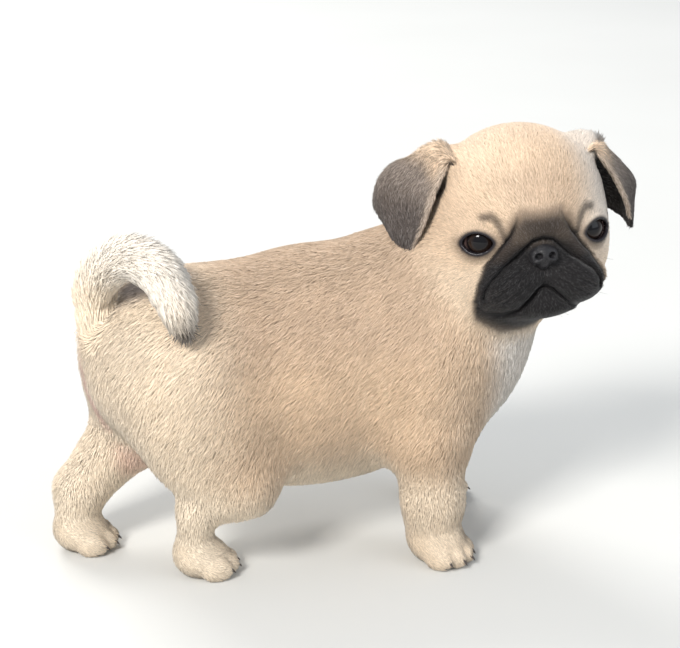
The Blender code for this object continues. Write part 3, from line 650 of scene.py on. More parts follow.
def zoneShare(points, normals, bounds, share=1.0):
    measures = {"x": points[:, 0], "z": points[:, 2], "up": normals[:, 2]}
    for name, none, whole in bounds:
        share = share * ramp(measures[name], none, whole)
    return share


def mixSizes(sizes, name, share):
    sizes += (np.array(coat[name]) - sizes) * share[:, None]


def headShare(points):
    # 1 on the head, 0 on the neck
    return ramp(headField(points), 0.012, 0.001)


def tailShare(points):
    found = np.zeros(len(points))
    here = near(points, tail["middle"], tail["reach"])
    found[here] = ramp(tailField(points[here]), 0.004, -0.0015)
    return found


def coatSizes(points, normals):
    sizes = np.tile(np.array(coat["flank"]), (len(points), 1))
    for name, bounds in coatZones:
        mixSizes(sizes, name, zoneShare(points, normals, bounds))
    mixSizes(sizes, "tail", tailShare(points))
    q = toHeadHalf(points)
    onHead = headShare(points)
    mixSizes(sizes, "cheek", onHead)
    mixSizes(sizes, "skull", onHead * ramp(q[:, 2], -0.012, 0.010))
    mixSizes(sizes, "earRoot", onHead * spot(q, (-0.004, 0.035, 0.024), (0.020, 0.012, 0.013)))
    mixSizes(sizes, "face", onHead * ramp(q[:, 0], 0.012, 0.026) * ramp(q[:, 2], 0.016, 0.004))
    mixSizes(sizes, "muzzle", onHead * ramp(maskDistance(q), 0.003, -0.002))
    sizes[:, 0] *= 1 - 0.55 * onHead * ramp(eyeOpening(q), 0.0055, 0.0018) * ramp(q[:, 0], 0.014, 0.020)
    bare = onHead * np.maximum(lidShare(q, 0.0018, 0.0010), ramp(mouthGap(q), 0.0010, 0.0005))
    sizes[:, 3] *= 1 - bare
    sizes[:, 3] *= ramp(points[:, 2], 0.0006, 0.0022)
    return sizes


def mouthGap(q):
    return faceDistance(q, mouthLine) + np.maximum(0.028 - q[:, 0], 0)


def coatLie(points, normals):
    # From nose to tail over the back, down the flanks and legs, away from the nose on the head
    slope = 0.85 + 0.9 * ramp(points[:, 2], 0.095, 0.045) + 1.2 * ramp(points[:, 0], 0.010, 0.060)
    slope += 1.0 * ramp(points[:, 0], -0.050, -0.100) * ramp(points[:, 2], 0.140, 0.080)
    lie = np.stack([-np.ones(len(points)), np.zeros(len(points)), -slope], axis=1)
    lie[:, 0] *= 1 - 0.9 * ramp(points[:, 2], 0.060, 0.035)
    lie[:, 2] -= 1.5 * ramp(points[:, 2], 0.060, 0.035)
    lie = unit(lie)
    for leg in legs.values():
        (x, y, _), _ = leg["joints"][-1]
        toes = yawMatrix(leg["pawYaw"])[:, 0]
        close = ramp(np.hypot(points[:, 0] - x, points[:, 1] - y), 0.034, 0.026)
        close *= ramp(points[:, 2], 0.024, 0.014)
        lie += close[:, None] * (toes * 0.9 - np.array((0.0, 0.0, 0.4)) - lie)
    q = toHead(points)
    away = q - np.array((0.026, 0.0, -0.012))
    away[:, 0] -= 0.010 * ramp(q[:, 0], 0.020, 0.036)
    away = unit(away)
    out, side = eyeFrame()
    for sign in (1, -1):
        mirrored = q * (1, sign, 1)
        fromEye = mirrored - np.array(eyes["place"])
        fromEye = unit(fromEye - out * (fromEye @ out)[:, None]) * (1, sign, 1)
        close = ramp(eyeOpening(mirrored), 0.0070, 0.0020) * ramp(mirrored[:, 0], 0.010, 0.018)
        away += close[:, None] * (fromEye - away)
    away = away @ headWorld[:3, :3].T
    lie += headShare(points)[:, None] * (away - lie)
    onTail = tailShare(points)
    here = np.flatnonzero(onTail > 0)
    towards = np.gradient(tailRows[:, :3], axis=0)
    nearest = np.argmin(np.linalg.norm(points[here, None] - tailRows[None, :, :3], axis=2), axis=1)
    lie[here] += onTail[here, None] * (unit(towards[nearest]) - lie[here])
    lie -= normals * np.sum(lie * normals, axis=1, keepdims=True)
    return unit(lie)


# Coat colours, with some painted light and shade, the same on the skin and on the hairs that grow from it

colours = {  # sRGB, 0 to 255
    "fawn": (218, 190, 160), "saddle": (192, 167, 143), "apricot": (222, 196, 168), "cream": (240, 223, 199),
    "white": (242, 237, 230), "forehead": (206, 181, 156), "black": (24, 21, 22), "brown": (92, 78, 68),
    "tailShadowGrey": (138, 130, 132), "pink": (226, 180, 165), "ear": (92, 84, 80), "earStreak": (180, 163, 147),
    "tailTip": (96, 86, 82), "lid": (38, 34, 38),
}
maskOutline = ((0.0000, 0.0035), (0.0080, 0.0045), (0.0112, 0.0020), (0.0145, -0.0040), (0.0232, -0.0150),
               (0.0289, -0.0250), (0.0305, -0.0340), (0.0300, -0.0420), (0.0180, -0.0500), (0.0000, -0.0510))
browSmear = ((0.0245, 0.0046), (0.0212, 0.0052), (0.0188, 0.0026), (0.0168, -0.0045))
bodyMarkings = (  # colour, strength, and where it sets in, as for the coat's zones
    ("saddle", 0.75, (("z", 0.088, 0.122), ("x", -0.085, -0.055))),
    ("apricot", 0.8, (("x", 0.020, 0.050),)),
    ("cream", 0.75, (("x", -0.045, -0.085),)),
    ("cream", 0.7, (("z", 0.060, 0.036),)),
    ("cream", 0.8, (("up", -0.2, -0.8),)),
    ("white", 0.8, (("x", 0.052, 0.076), ("z", 0.056, 0.076))),
)


def linear(name):
    c = np.array(colours[name]) / 255
    return np.where(c <= 0.04045, c / 12.92, ((c + 0.055) / 1.055) ** 2.4)


def maskDistance(q):
    # Negative on the dark muzzle. q has y made positive
    _, across, up = q.T
    inside = np.zeros(len(q), bool)
    for (y0, z0), (y1, z1) in zip(maskOutline, maskOutline[1:] + maskOutline[:1]):
        crosses = (z0 > up) != (z1 > up)
        height = z1 - z0 if z1 != z0 else 1e-9
        inside ^= crosses & (across < y0 + (up - z0) / height * (y1 - y0))
    away = faceDistance(q, maskOutline)
    return np.maximum(np.where(inside, -away, away), (0.010 - q[:, 0]) * 0.8)


def paint(base, name, share):
    base += (linear(name) - base) * np.clip(share, 0.0, 1.0)[:, None]


def spot(q, centre, half):
    return ramp(np.linalg.norm((q - np.array(centre)) / np.array(half), axis=1), 1.0, 0.35)


def markings_and_painted_light(points, normals):
    base = np.tile(linear("fawn"), (len(points), 1))
    x, y, z = points.T
    for name, strength, bounds in bodyMarkings:
        paint(base, name, zoneShare(points, normals, bounds, strength))
    # painted shadow: a grey patch on the top of the rump under the curl of the tail
    underTailShade = np.hypot(y + 0.004, (x + 0.088) * 0.6) + np.maximum(0.125 - z, 0)
    paint(base, "tailShadowGrey", 0.8 * ramp(underTailShade, 0.016, 0.004))
    vent = np.hypot(y - 0.004, (z - 0.088) * 0.32) + np.maximum(x + 0.112, 0)
    paint(base, "pink", 0.75 * ramp(vent, 0.010, 0.003))
    innerThigh = spot(points, (-0.098, 0.008, 0.052), (0.016, 0.014, 0.020))
    paint(base, "pink", 0.5 * innerThigh)

    q, side = toHeadHalf(points), toHead(points)[:, 1]
    onHead = headShare(points)
    paint(base, "apricot", onHead)
    paint(base, "cream", 0.45 * onHead * ramp(q[:, 2], -0.004, -0.030))
    paint(base, "forehead", 0.7 * onHead * spot(q, (0.034, 0.0, 0.012), (0.016, 0.022, 0.018)))
    # painted light: only the outer part of the head's left side is paled, a rim of light on that side
    paint(base, "white", 0.6 * onHead * ramp(side, 0.012, 0.034) * ramp(q[:, 2], -0.030, 0.0))
    front = onHead * ramp(q[:, 0], 0.012, 0.022)
    paint(base, "brown", 0.6 * front * spot(q, (0.038, 0.0, -0.001), (0.02, 0.0135, 0.0070)))
    paint(base, "brown", 0.55 * front * ramp(eyeOpening(q), 0.0065, 0.0015) * ramp(q[:, 2], 0.001, -0.006))
    paint(base, "black", 0.72 * front * ramp(faceDistance(q, browSmear), 0.0034, 0.0002))
    paint(base, "black", 0.9 * front * spot(q, (0.0330, 0.0155, -0.0068), (0.010, 0.0040, 0.0034)))
    wing = taper(q, (0.0215, 0.0325, -0.0042), (0.0160, 0.0372, -0.0030), 0.0015, 0.0006)
    paint(base, "black", 0.9 * onHead * ramp(wing, 0.0009, -0.0002))
    mask = maskDistance(q)
    soft = 0.0010 + 0.0022 * ramp(q[:, 2], -0.010, 0.002)
    paint(base, "brown", 0.6 * onHead * ramp(mask / soft, 1.7, 0.3))
    paint(base, "black", onHead * ramp(mask / soft, 0.8, -1.0) * (0.78 + 0.22 * ramp(q[:, 2], -0.004, -0.012)))
    onRoll = ramp(pathDistance(q, noseRoll["path"]) - noseRoll["radius"], 0.0012, -0.0010)
    paint(base, "brown", 0.55 * front * onRoll * ramp(q[:, 2], -0.024, -0.010))
    # painted shade: the sunk lines inside the mask are darkened to black
    for path, _, width in faceLines["sunk"]:
        crease = faceDistance(q, path)
        paint(base, "black", 0.85 * front * ramp(mask, 0.004, 0.0) * ramp(crease, width * 1.6, width * 0.3)
              * ramp(q[:, 2], 0.005, -0.003))
    paint(base, "lid", front * ramp(eyeOpening(q), 0.0022, 0.0009))
    # partly the ear's own black hair and skin, partly painted shade on the head under the ear's front edge and
    # in the hollow under the ear
    earFront = taper(q, (0.0125, 0.0375, 0.0240), (0.0085, 0.0425, 0.0080), 0.0022, 0.0012)
    paint(base, "black", 0.75 * onHead * ramp(earFront, 0.0022, -0.0006))
    paint(base, "black", 0.7 * onHead * ramp(ellipsoid(q, *head["concha"]), 0.0030, 0.0))

    onTail = tailShare(points)
    paint(base, "cream", onTail)
    # painted light: the upper part of the tail is paled to white
    paint(base, "white", 0.7 * onTail * ramp(z, 0.120, 0.155))
    tip = np.linalg.norm(points - tailRows[-1, :3], axis=1)
    paint(base, "tailTip", 0.85 * onTail * ramp(tip, 0.020, 0.006))
    return np.clip(base, 0.0, 1.0)


def setVector(mesh, name, kind, values):
    attribute = mesh.attributes.new(name, kind, "POINT")
    field = {"FLOAT": "value", "FLOAT_COLOR": "color", "FLOAT_VECTOR": "vector"}[kind]
    attribute.data.foreach_set(field, np.ascontiguousarray(values, np.float32).ravel())


def groom(mesh, lie, sizes, base):
    # Stores what the coat grows by at each vertex of a skin
    setVector(mesh, "markings_and_painted_light", "FLOAT_COLOR", np.column_stack([base, np.ones(len(base))]))
    setVector(mesh, "lie", "FLOAT_VECTOR", lie)
    setVector(mesh, "tuftSize", "FLOAT_VECTOR", sizes[:, :3] / 1000)
    setVector(mesh, "tuftAmount", "FLOAT", sizes[:, 3] * coat["perSquareMetre"])


# The tufts: a bent leaf with its root at the origin, one unit long, wide and high

tuftShapes = {
    "shortTuft": ((0.42, 0.50, 0.62),),
    "longTuft": ((0.28, 0.46, 0.42), (0.64, 0.36, 0.80)),
}


def tuftMesh(name):
    rungs = tuftShapes[name]
    bm = bmesh.new()
    root = bm.verts.new((0.0, 0.0, -0.15))
    tip = bm.verts.new((1.0, 0.0, 1.0))
    left = [bm.verts.new((along, half, high)) for along, half, high in rungs]
    right = [bm.verts.new((along, -half, high)) for along, half, high in rungs]
    bm.faces.new((root, right[0], left[0]))
    for i in range(len(rungs) - 1):
        bm.faces.new((left[i], right[i], right[i + 1], left[i + 1]))
    bm.faces.new((left[-1], right[-1], tip))
    bm.faces.new([root, *left, tip])
    bm.faces.new([tip, *reversed(right), root])
    bmesh.ops.triangulate(bm, faces=bm.faces)
    bmesh.ops.recalc_face_normals(bm, faces=bm.faces)
    for face in bm.faces:
        face.smooth = True
    mesh = meshFrom(bm, name)
    points = getCoordinates(mesh)
    setVector(mesh, "along", "FLOAT", points[:, 0])
    setVector(mesh, "tuftPlace", "FLOAT_VECTOR", points * (1.0, 1.0, 0.0) + (0.0, 0.5, 0.0))
    return mesh


def addNode(tree, kind, place, inputs=None, **settings):
    made = tree.nodes.new(kind)
    made.location = place
    for name, value in settings.items():
        setattr(made, name, value)
    for socket, value in (inputs or {}).items():
        made.inputs[socket].default_value = value
    return made


def join(tree, *links):
    for source, target in links:
        tree.links.new(source, target)


def makeGroup(name, kind, inputs, output, places):
    # An empty node group; inputs are names with their kind of socket and first value
    tree = bpy.data.node_groups.new(name, kind)
    for label, socketKind, value in inputs:
        socket = tree.interface.new_socket(label, in_out="INPUT", socket_type="NodeSocket" + socketKind)
        if value is not None:
            socket.default_value = value
    tree.interface.new_socket(output, in_out="OUTPUT", socket_type="NodeSocket" + output)
    given, result = (addNode(tree, "NodeGroup" + end, place) for end, place in zip(("Input", "Output"), places))
    return tree, given.outputs, result


def readAttribute(tree, name, kind, place):
    made = addNode(tree, "GeometryNodeInputNamedAttribute", place, {"Name": name}, data_type=kind)
    return made.outputs["Attribute"]


def storeAttribute(tree, name, kind, domain, place):
    return addNode(tree, "GeometryNodeStoreNamedAttribute", place, {"Name": name}, data_type=kind,
                   domain=domain)


def random(tree, low, high, seed, place):
    return addNode(tree, "FunctionNodeRandomValue", place, {2: low, 3: high, "Seed": seed}).outputs[1]


def maths(tree, operation, first, second, place, third=None):
    made = addNode(tree, "ShaderNodeMath", place, operation=operation)
    for socket, value in zip(made.inputs, (first, second, third)):
        if isinstance(value, (int, float)):
            socket.default_value = value
        elif value is not None:
            tree.links.new(value, socket)
    return made.outputs[0]


def combTree():
    # Sets one patch of skin with tufts that follow its lie
    tree, given, result = makeGroup("combCoat", "GeometryNodeTree", (
        ("Geometry", "Geometry", None), ("Tuft", "Object", None), ("Patch", "Int", 0), ("Swirl", "Float", 0.5),
        ("Stray", "Float", 0.3), ("Uv patch", "Float", coat["patch"]), ("Seed", "Int", coat["seed"]),
        ("Coat", "Material", None)), "Geometry", ((-1600, 0), (1600, 0)))

    patch = addNode(tree, "FunctionNodeCompare", (-1200, -300), data_type="INT", operation="EQUAL")
    join(tree, (readAttribute(tree, "patch", "INT", (-1400, -300)), patch.inputs[2]),
         (given["Patch"], patch.inputs[3]))
    amount = maths(tree, "MULTIPLY", readAttribute(tree, "tuftAmount", "FLOAT", (-1400, -500)),
                   patch.outputs[0], (-1000, -400))
    scatter = addNode(tree, "GeometryNodeDistributePointsOnFaces", (-800, 0), distribute_method="RANDOM")
    join(tree, (given["Geometry"], scatter.inputs["Mesh"]), (amount, scatter.inputs["Density"]),
         (given["Seed"], scatter.inputs["Seed"]))

    noise = addNode(tree, "ShaderNodeTexNoise", (-800, -400), {"Scale": 70.0, "Detail": 2.0})
    swirl = maths(tree, "MULTIPLY", maths(tree, "SUBTRACT", noise.outputs["Fac"], 0.5, (-600, -400)),
                  given["Swirl"], (-400, -400))
    stray = maths(tree, "MULTIPLY", random(tree, -1.0, 1.0, 1, (-600, -600)), given["Stray"], (-400, -600))
    turned = addNode(tree, "ShaderNodeVectorRotate", (-200, -300), rotation_type="AXIS_ANGLE")
    join(tree, (readAttribute(tree, "lie", "FLOAT_VECTOR", (-600, -200)), turned.inputs["Vector"]),
         (scatter.outputs["Normal"], turned.inputs["Axis"]),
         (maths(tree, "ADD", swirl, stray, (-300, -500)), turned.inputs["Angle"]))
    axes = addNode(tree, "FunctionNodeAxesToRotation", (0, -200), primary_axis="Z", secondary_axis="X")
    join(tree, (scatter.outputs["Normal"], axes.inputs[0]), (turned.outputs[0], axes.inputs[1]))

    size = addNode(tree, "ShaderNodeSeparateXYZ", (-400, -800))
    join(tree, (readAttribute(tree, "tuftSize", "FLOAT_VECTOR", (-600, -800)), size.inputs[0]))
    scale = addNode(tree, "ShaderNodeCombineXYZ", (0, -800))
    for axis, (low, high) in enumerate(((0.70, 1.25), (0.75, 1.30), (0.55, 1.55))):
        spread = random(tree, low, high, 11 + axis, (-400, -1000 - 150 * axis))
        join(tree, (maths(tree, "MULTIPLY", size.outputs[axis], spread, (-200, -800 - 150 * axis)),
                    scale.inputs[axis]))

    under = storeAttribute(tree, "skinNormal", "FLOAT_VECTOR", "POINT", (-200, 100))
    lot = storeAttribute(tree, "lot", "FLOAT", "POINT", (0, 100))
    join(tree, (scatter.outputs["Points"], under.inputs["Geometry"]),
         (scatter.outputs["Normal"], under.inputs["Value"]), (under.outputs[0], lot.inputs["Geometry"]),
         (random(tree, 0.0, 1.0, 29, (-200, 200)), lot.inputs["Value"]))
    tuft = addNode(tree, "GeometryNodeObjectInfo", (0, 300), transform_space="ORIGINAL")
    join(tree, (given["Tuft"], tuft.inputs["Object"]))
    place = addNode(tree, "GeometryNodeInstanceOnPoints", (300, 0))
    join(tree, (lot.outputs[0], place.inputs["Points"]),
         (tuft.outputs["Geometry"], place.inputs["Instance"]),
         (axes.outputs[0], place.inputs["Rotation"]), (scale.outputs[0], place.inputs["Scale"]))
    real = addNode(tree, "GeometryNodeRealizeInstances", (500, 0))

    offset = addNode(tree, "ShaderNodeVectorMath", (500, -400), operation="SCALE")
    join(tree, (readAttribute(tree, "tuftPlace", "FLOAT_VECTOR", (300, -400)), offset.inputs[0]),
         (given["Uv patch"], offset.inputs["Scale"]))
    uv = addNode(tree, "ShaderNodeVectorMath", (700, -400), operation="ADD")
    join(tree, (readAttribute(tree, "skinMap", "FLOAT_VECTOR", (500, -600)), uv.inputs[0]),
         (offset.outputs[0], uv.inputs[1]))
    store = storeAttribute(tree, "OFBake", "FLOAT2", "CORNER", (900, 0))
    dress = addNode(tree, "GeometryNodeSetMaterial", (1200, 0))
    join(tree, (place.outputs[0], real.inputs[0]), (real.outputs[0], store.inputs["Geometry"]),
         (uv.outputs[0], store.inputs["Value"]), (store.outputs[0], dress.inputs["Geometry"]),
         (given["Coat"], dress.inputs["Material"]), (dress.outputs[0], result.inputs[0]))
    return tree


def tuftAmounts(mesh):
    # The middle of each face, and how many tufts it grows
    corners = readAll(mesh.loops, "vertex_index", kind=np.int64)
    firstCorners = corners[readAll(mesh.polygons, "loop_start", kind=np.int64)]
    amounts = readAll(mesh.attributes["tuftAmount"].data, "value")
    return readAll(mesh.polygons, "center", 3), amounts[firstCorners] * readAll(mesh.polygons, "area")


def regionOf(points):
    # 0 body, 1 head, 2 tail, 3 fore legs, 4 hind legs
    found = np.zeros(len(points), np.int64)
    found[(points[:, 2] < 0.058) & (points[:, 0] > -0.02)] = 3
    found[(points[:, 2] < 0.066) & (points[:, 0] <= -0.02)] = 4
    found[headShare(points) > 0.5] = 1
    found[tailShare(points) > 0.4] = 2
    return found


regionNames = ("coatBody", "coatHead", "coatTail", "coatForelegs", "coatHindLegs")


def growCoat(skinPiece, regions, comb, tufts, materials):
    mesh = skinPiece.data
    middles, amount = tuftAmounts(mesh)
    patch = np.full(len(amount), -1, np.int32)
    names = []
    for number, name in enumerate(regions):
        mine = np.arange(len(amount))
        if len(regions) > 1:
            mine = np.flatnonzero(regionOf(middles) == number)
        # From the rear forwards, so that the pieces of a region are bands across it
        order = mine[np.argsort(middles[mine] @ np.array((1.0, 0.0, 0.35)))]
        total = amount[order].sum()
        limit = coat["pieceTufts"] / (2 if tufts[number].name.startswith("longTuft") else 1)
        count = max(1, math.ceil(total / limit))
        bands = np.minimum((np.cumsum(amount[order]) / total * count).astype(int), count - 1)
        for band in range(count):
            patch[order[bands == band]] = len(names)
            names.append((f"{name}{band + 1}" if count > 1 else name, number))
    attribute = mesh.attributes.new("patch", "INT", "FACE")
    attribute.data.foreach_set("value", patch)

    grower = addPiece("grower", mesh.copy())
    modifier = grower.modifiers.new("Comb", "NODES")
    modifier.node_group = comb
    sockets = {item.name: item.identifier for item in comb.interface.items_tree if item.in_out == "INPUT"}
    pieces = []
    for index, (name, number) in enumerate(names):
        modifier[sockets["Tuft"]] = tufts[number]
        modifier[sockets["Coat"]] = materials[number]
        modifier[sockets["Patch"]] = index
        modifier[sockets["Seed"]] = coat["seed"] + index
        grower.update_tag()
        made = evaluatedMesh(grower)
        keepAbove(made, coat["floor"])
        skinNormals = readAll(made.attributes["skinNormal"].data, "vector", 3)
        blended = unit(skinNormals * coat["skinShade"] + getNormals(made) * (1 - coat["skinShade"]))
        setVector(made, "custom_normal", "FLOAT_VECTOR", blended)
        for extra in ("skinMap", "tuftPlace", "tuftSize", "tuftAmount", "lie", "patch", "skinNormal"):
            if extra in made.attributes:
                made.attributes.remove(made.attributes[extra])
        made.name = name
        pieces.append(addPiece(name, made))
        print(name, len(made.polygons), "triangles")
    bpy.data.objects.remove(grower)
    return pieces


# Materials


def makeMaterial(name, **constants):
    material = bpy.data.materials.new(name)
    material.use_nodes = True
    shader = material.node_tree.nodes["Principled BSDF"]
    for socket, value in constants.items():
        shader.inputs[socket.replace("_", " ")].default_value = value
    return material, material.node_tree, shader


def objectNoise(tree, scale, place, detail=2.0):
    # Noise laid out in the piece's own coordinates
    origin = addNode(tree, "ShaderNodeTexCoord", (place[0] - 200, place[1]))
    noise = addNode(tree, "ShaderNodeTexNoise", place, {"Scale": scale, "Detail": detail})
    join(tree, (origin.outputs["Object"], noise.inputs["Vector"]))
    return noise.outputs["Fac"]


def speckledMaterial(name, scale, dark, pale, **constants):
    # A material that wanders between two colours; its noise is returned with it
    material, tree, shader = makeMaterial(name, **constants)
    noise = objectNoise(tree, scale, (-700, 0))
    colour = addNode(tree, "ShaderNodeMix", (-400, 0), {"A": (*dark, 1.0), "B": (*pale, 1.0)}, data_type="RGBA")
    join(tree, (noise, colour.inputs["Factor"]), (colour.outputs["Result"], shader.inputs["Base Color"]))
    return material, tree, shader, noise


def tintGroup():
    # Darker roots, partly the undercoat's colour and partly painted shade deep in the coat; tips brightened as
    # painted light; hair-to-hair change over the coat's colours
    tree, given, result = makeGroup("coatTint", "ShaderNodeTree", (
        ("Markings_and_painted_light", "Color", (0.5, 0.5, 0.5, 1.0)), ("Along", "Float", 0.0), ("Lot", "Float", 0.5),
        ("Root", "Float", 0.6), ("Tip", "Float", 1.1), ("Change", "Float", 0.3), ("Mottle", "Float", 0.2),
        ("Grey", "Float", 0.02)), "Color", ((-1400, 0), (900, 0)))
    length = addNode(tree, "ShaderNodeMapRange", (-1000, 200))
    join(tree, (given["Along"], length.inputs["Value"]), (given["Root"], length.inputs["To Min"]),
         (given["Tip"], length.inputs["To Max"]))
    centred = maths(tree, "SUBTRACT", given["Lot"], 0.5, (-1000, -100))
    perHair = maths(tree, "MULTIPLY_ADD", centred, given["Change"], (-800, -100), 1.0)
    noise = objectNoise(tree, 55.0, (-1000, -400), 4.0)
    cloud = maths(tree, "MULTIPLY_ADD", maths(tree, "SUBTRACT", noise, 0.5, (-800, -400)), given["Mottle"],
                  (-600, -400), 1.0)
    shade = maths(tree, "MULTIPLY", maths(tree, "MULTIPLY", length.outputs[0], perHair, (-500, 100)), cloud,
                  (-300, 0))
    lit = addNode(tree, "ShaderNodeVectorMath", (0, 0), operation="SCALE")
    some = maths(tree, "GREATER_THAN", given["Lot"], 0.82, (-500, -600))
    grey = maths(tree, "MULTIPLY", maths(tree, "MULTIPLY", some, given["Grey"], (-300, -600)), given["Along"],
                 (-100, -600))
    added = addNode(tree, "ShaderNodeVectorMath", (300, 0), operation="ADD")
    join(tree, (given["Markings_and_painted_light"], lit.inputs[0]), (shade, lit.inputs["Scale"]),
         (lit.outputs[0], added.inputs[0]), (grey, added.inputs[1]), (added.outputs[0], result.inputs[0]))
    return tree


tint = tintGroup()


def attributeNode(tree, name, place):
    return addNode(tree, "ShaderNodeAttribute", place, attribute_name=name).outputs


def coatMaterial(name, values, bump=None, wet=False, **constants):
    material, tree, shader = makeMaterial(name, **constants)
    group = addNode(tree, "ShaderNodeGroup", (-400, 200), values, node_tree=tint)
    for attribute, output, up in (("markings_and_painted_light", "Color", 300), ("along", "Fac", 100), ("lot", "Fac", -100)):
        join(tree, (attributeNode(tree, attribute, (-800, up))[output], group.inputs[attribute.capitalize()]))
    join(tree, (group.outputs[0], shader.inputs["Base Color"]))
    if bump:
        noise = objectNoise(tree, bump["scale"], (-700, -400), 3.0)
        raised = addNode(tree, "ShaderNodeBump", (-400, -400),
                         {"Strength": bump["strength"], "Distance": bump["distance"]})
        join(tree, (noise, raised.inputs["Height"]), (raised.outputs[0], shader.inputs["Normal"]))
    if wet:
        gloss = addNode(tree, "ShaderNodeMapRange", (-400, -100), {"To Min": 0.75, "To Max": 0.22})
        join(tree, (attributeNode(tree, "wet", (-800, -250))["Fac"], gloss.inputs["Value"]),
             (gloss.outputs[0], shader.inputs["Roughness"]))
    return material


# Root below 1 darkens the hair roots and the skin under the coat, partly undercoat colour and partly painted
# shade; Tip above 1 is painted light on the hair tips
fawnTint = {"Root": 0.80, "Tip": 1.10, "Change": 0.30, "Mottle": 0.26, "Grey": 0.07}
skinBump = {"scale": 900, "strength": 0.4, "distance": 0.0003}
skinMaterial = coatMaterial("fawnSkin", {**fawnTint, "Root": 0.85}, skinBump, wet=True, Specular_IOR_Level=0.3)
fawnMaterial = coatMaterial("fawnCoat", fawnTint, Roughness=0.72, Specular_IOR_Level=0.28, Sheen_Weight=0.15,
                            Sheen_Roughness=0.5)
tailMaterial = coatMaterial("tailCoat", {**fawnTint, "Root": 0.78}, Roughness=0.74, Specular_IOR_Level=0.25,
                            Sheen_Weight=0.15, Sheen_Roughness=0.5)
# On the ears too, Root is partly painted shade and Tip above 1 is painted light on the hair tips
earTint = {"Root": 0.75, "Tip": 1.30, "Change": 0.90, "Mottle": 0.5, "Grey": 0.10}
earSkinMaterial = coatMaterial("earSkin", earTint, {"scale": 1100, "strength": 0.35, "distance": 0.0002},
                               Roughness=0.7, Specular_IOR_Level=0.25)
earMaterial = coatMaterial("earCoat", earTint, Roughness=0.66, Specular_IOR_Level=0.30, Sheen_Weight=0.12,
                           Sheen_Roughness=0.5)

# Ears: folded flaps from rows that run from the base over the fold to the tip

ears = {
    "thickness": 0.0012, "across": 25, "down": 57,
    "rows": {  # front edge, middle and rear edge in the head's frame, with y outwards
        "left": (
            ((0.0110, 0.0290, 0.0240), (-0.0060, 0.0300, 0.0240), (-0.0200, 0.0330, -0.0030)),
            ((0.0120, 0.0337, 0.0274), (-0.0060, 0.0396, 0.0269), (-0.0250, 0.0410, -0.0010)),
            ((0.0130, 0.0362, 0.0254), (-0.0080, 0.0470, 0.0221), (-0.0270, 0.0470, -0.0040)),
            ((0.0130, 0.0402, 0.0193), (-0.0080, 0.0537, 0.0156), (-0.0260, 0.0510, -0.0060)),
            ((0.0110, 0.0453, 0.0105), (-0.0060, 0.0586, 0.0081), (-0.0200, 0.0535, -0.0080)),
            ((0.0080, 0.0503, 0.0000), (-0.0020, 0.0568, -0.0013), (-0.0100, 0.0550, -0.0100)),
            ((0.0040, 0.0529, -0.0071), (0.0010, 0.0549, -0.0083), (-0.0020, 0.0550, -0.0130)),
        ),
        "right": (
            ((0.0110, 0.0290, 0.0240), (-0.0060, 0.0300, 0.0260), (-0.0200, 0.0330, 0.0040)),
            ((0.0120, 0.0328, 0.0290), (-0.0070, 0.0337, 0.0332), (-0.0250, 0.0420, 0.0060)),
            ((0.0120, 0.0353, 0.0269), (-0.0090, 0.0414, 0.0324), (-0.0280, 0.0500, 0.0070)),
            ((0.0120, 0.0386, 0.0208), (-0.0100, 0.0521, 0.0277), (-0.0280, 0.0578, 0.0178)),
            ((0.0110, 0.0428, 0.0119), (-0.0080, 0.0614, 0.0182), (-0.0240, 0.0633, 0.0079)),
            ((0.0080, 0.0477, -0.0007), (-0.0040, 0.0587, 0.0024), (-0.0120, 0.0607, -0.0021)),
            ((0.0050, 0.0520, -0.0097), (0.0020, 0.0553, -0.0113), (-0.0020, 0.0581, -0.0102)),
        ),
    },
    "outside": (3.4, 0.28, 0.55, 6.5), "inside": (2.2, 0.32, 0.50, 3.5), "root": (4.6, 0.30, 0.9, 6.0),
}


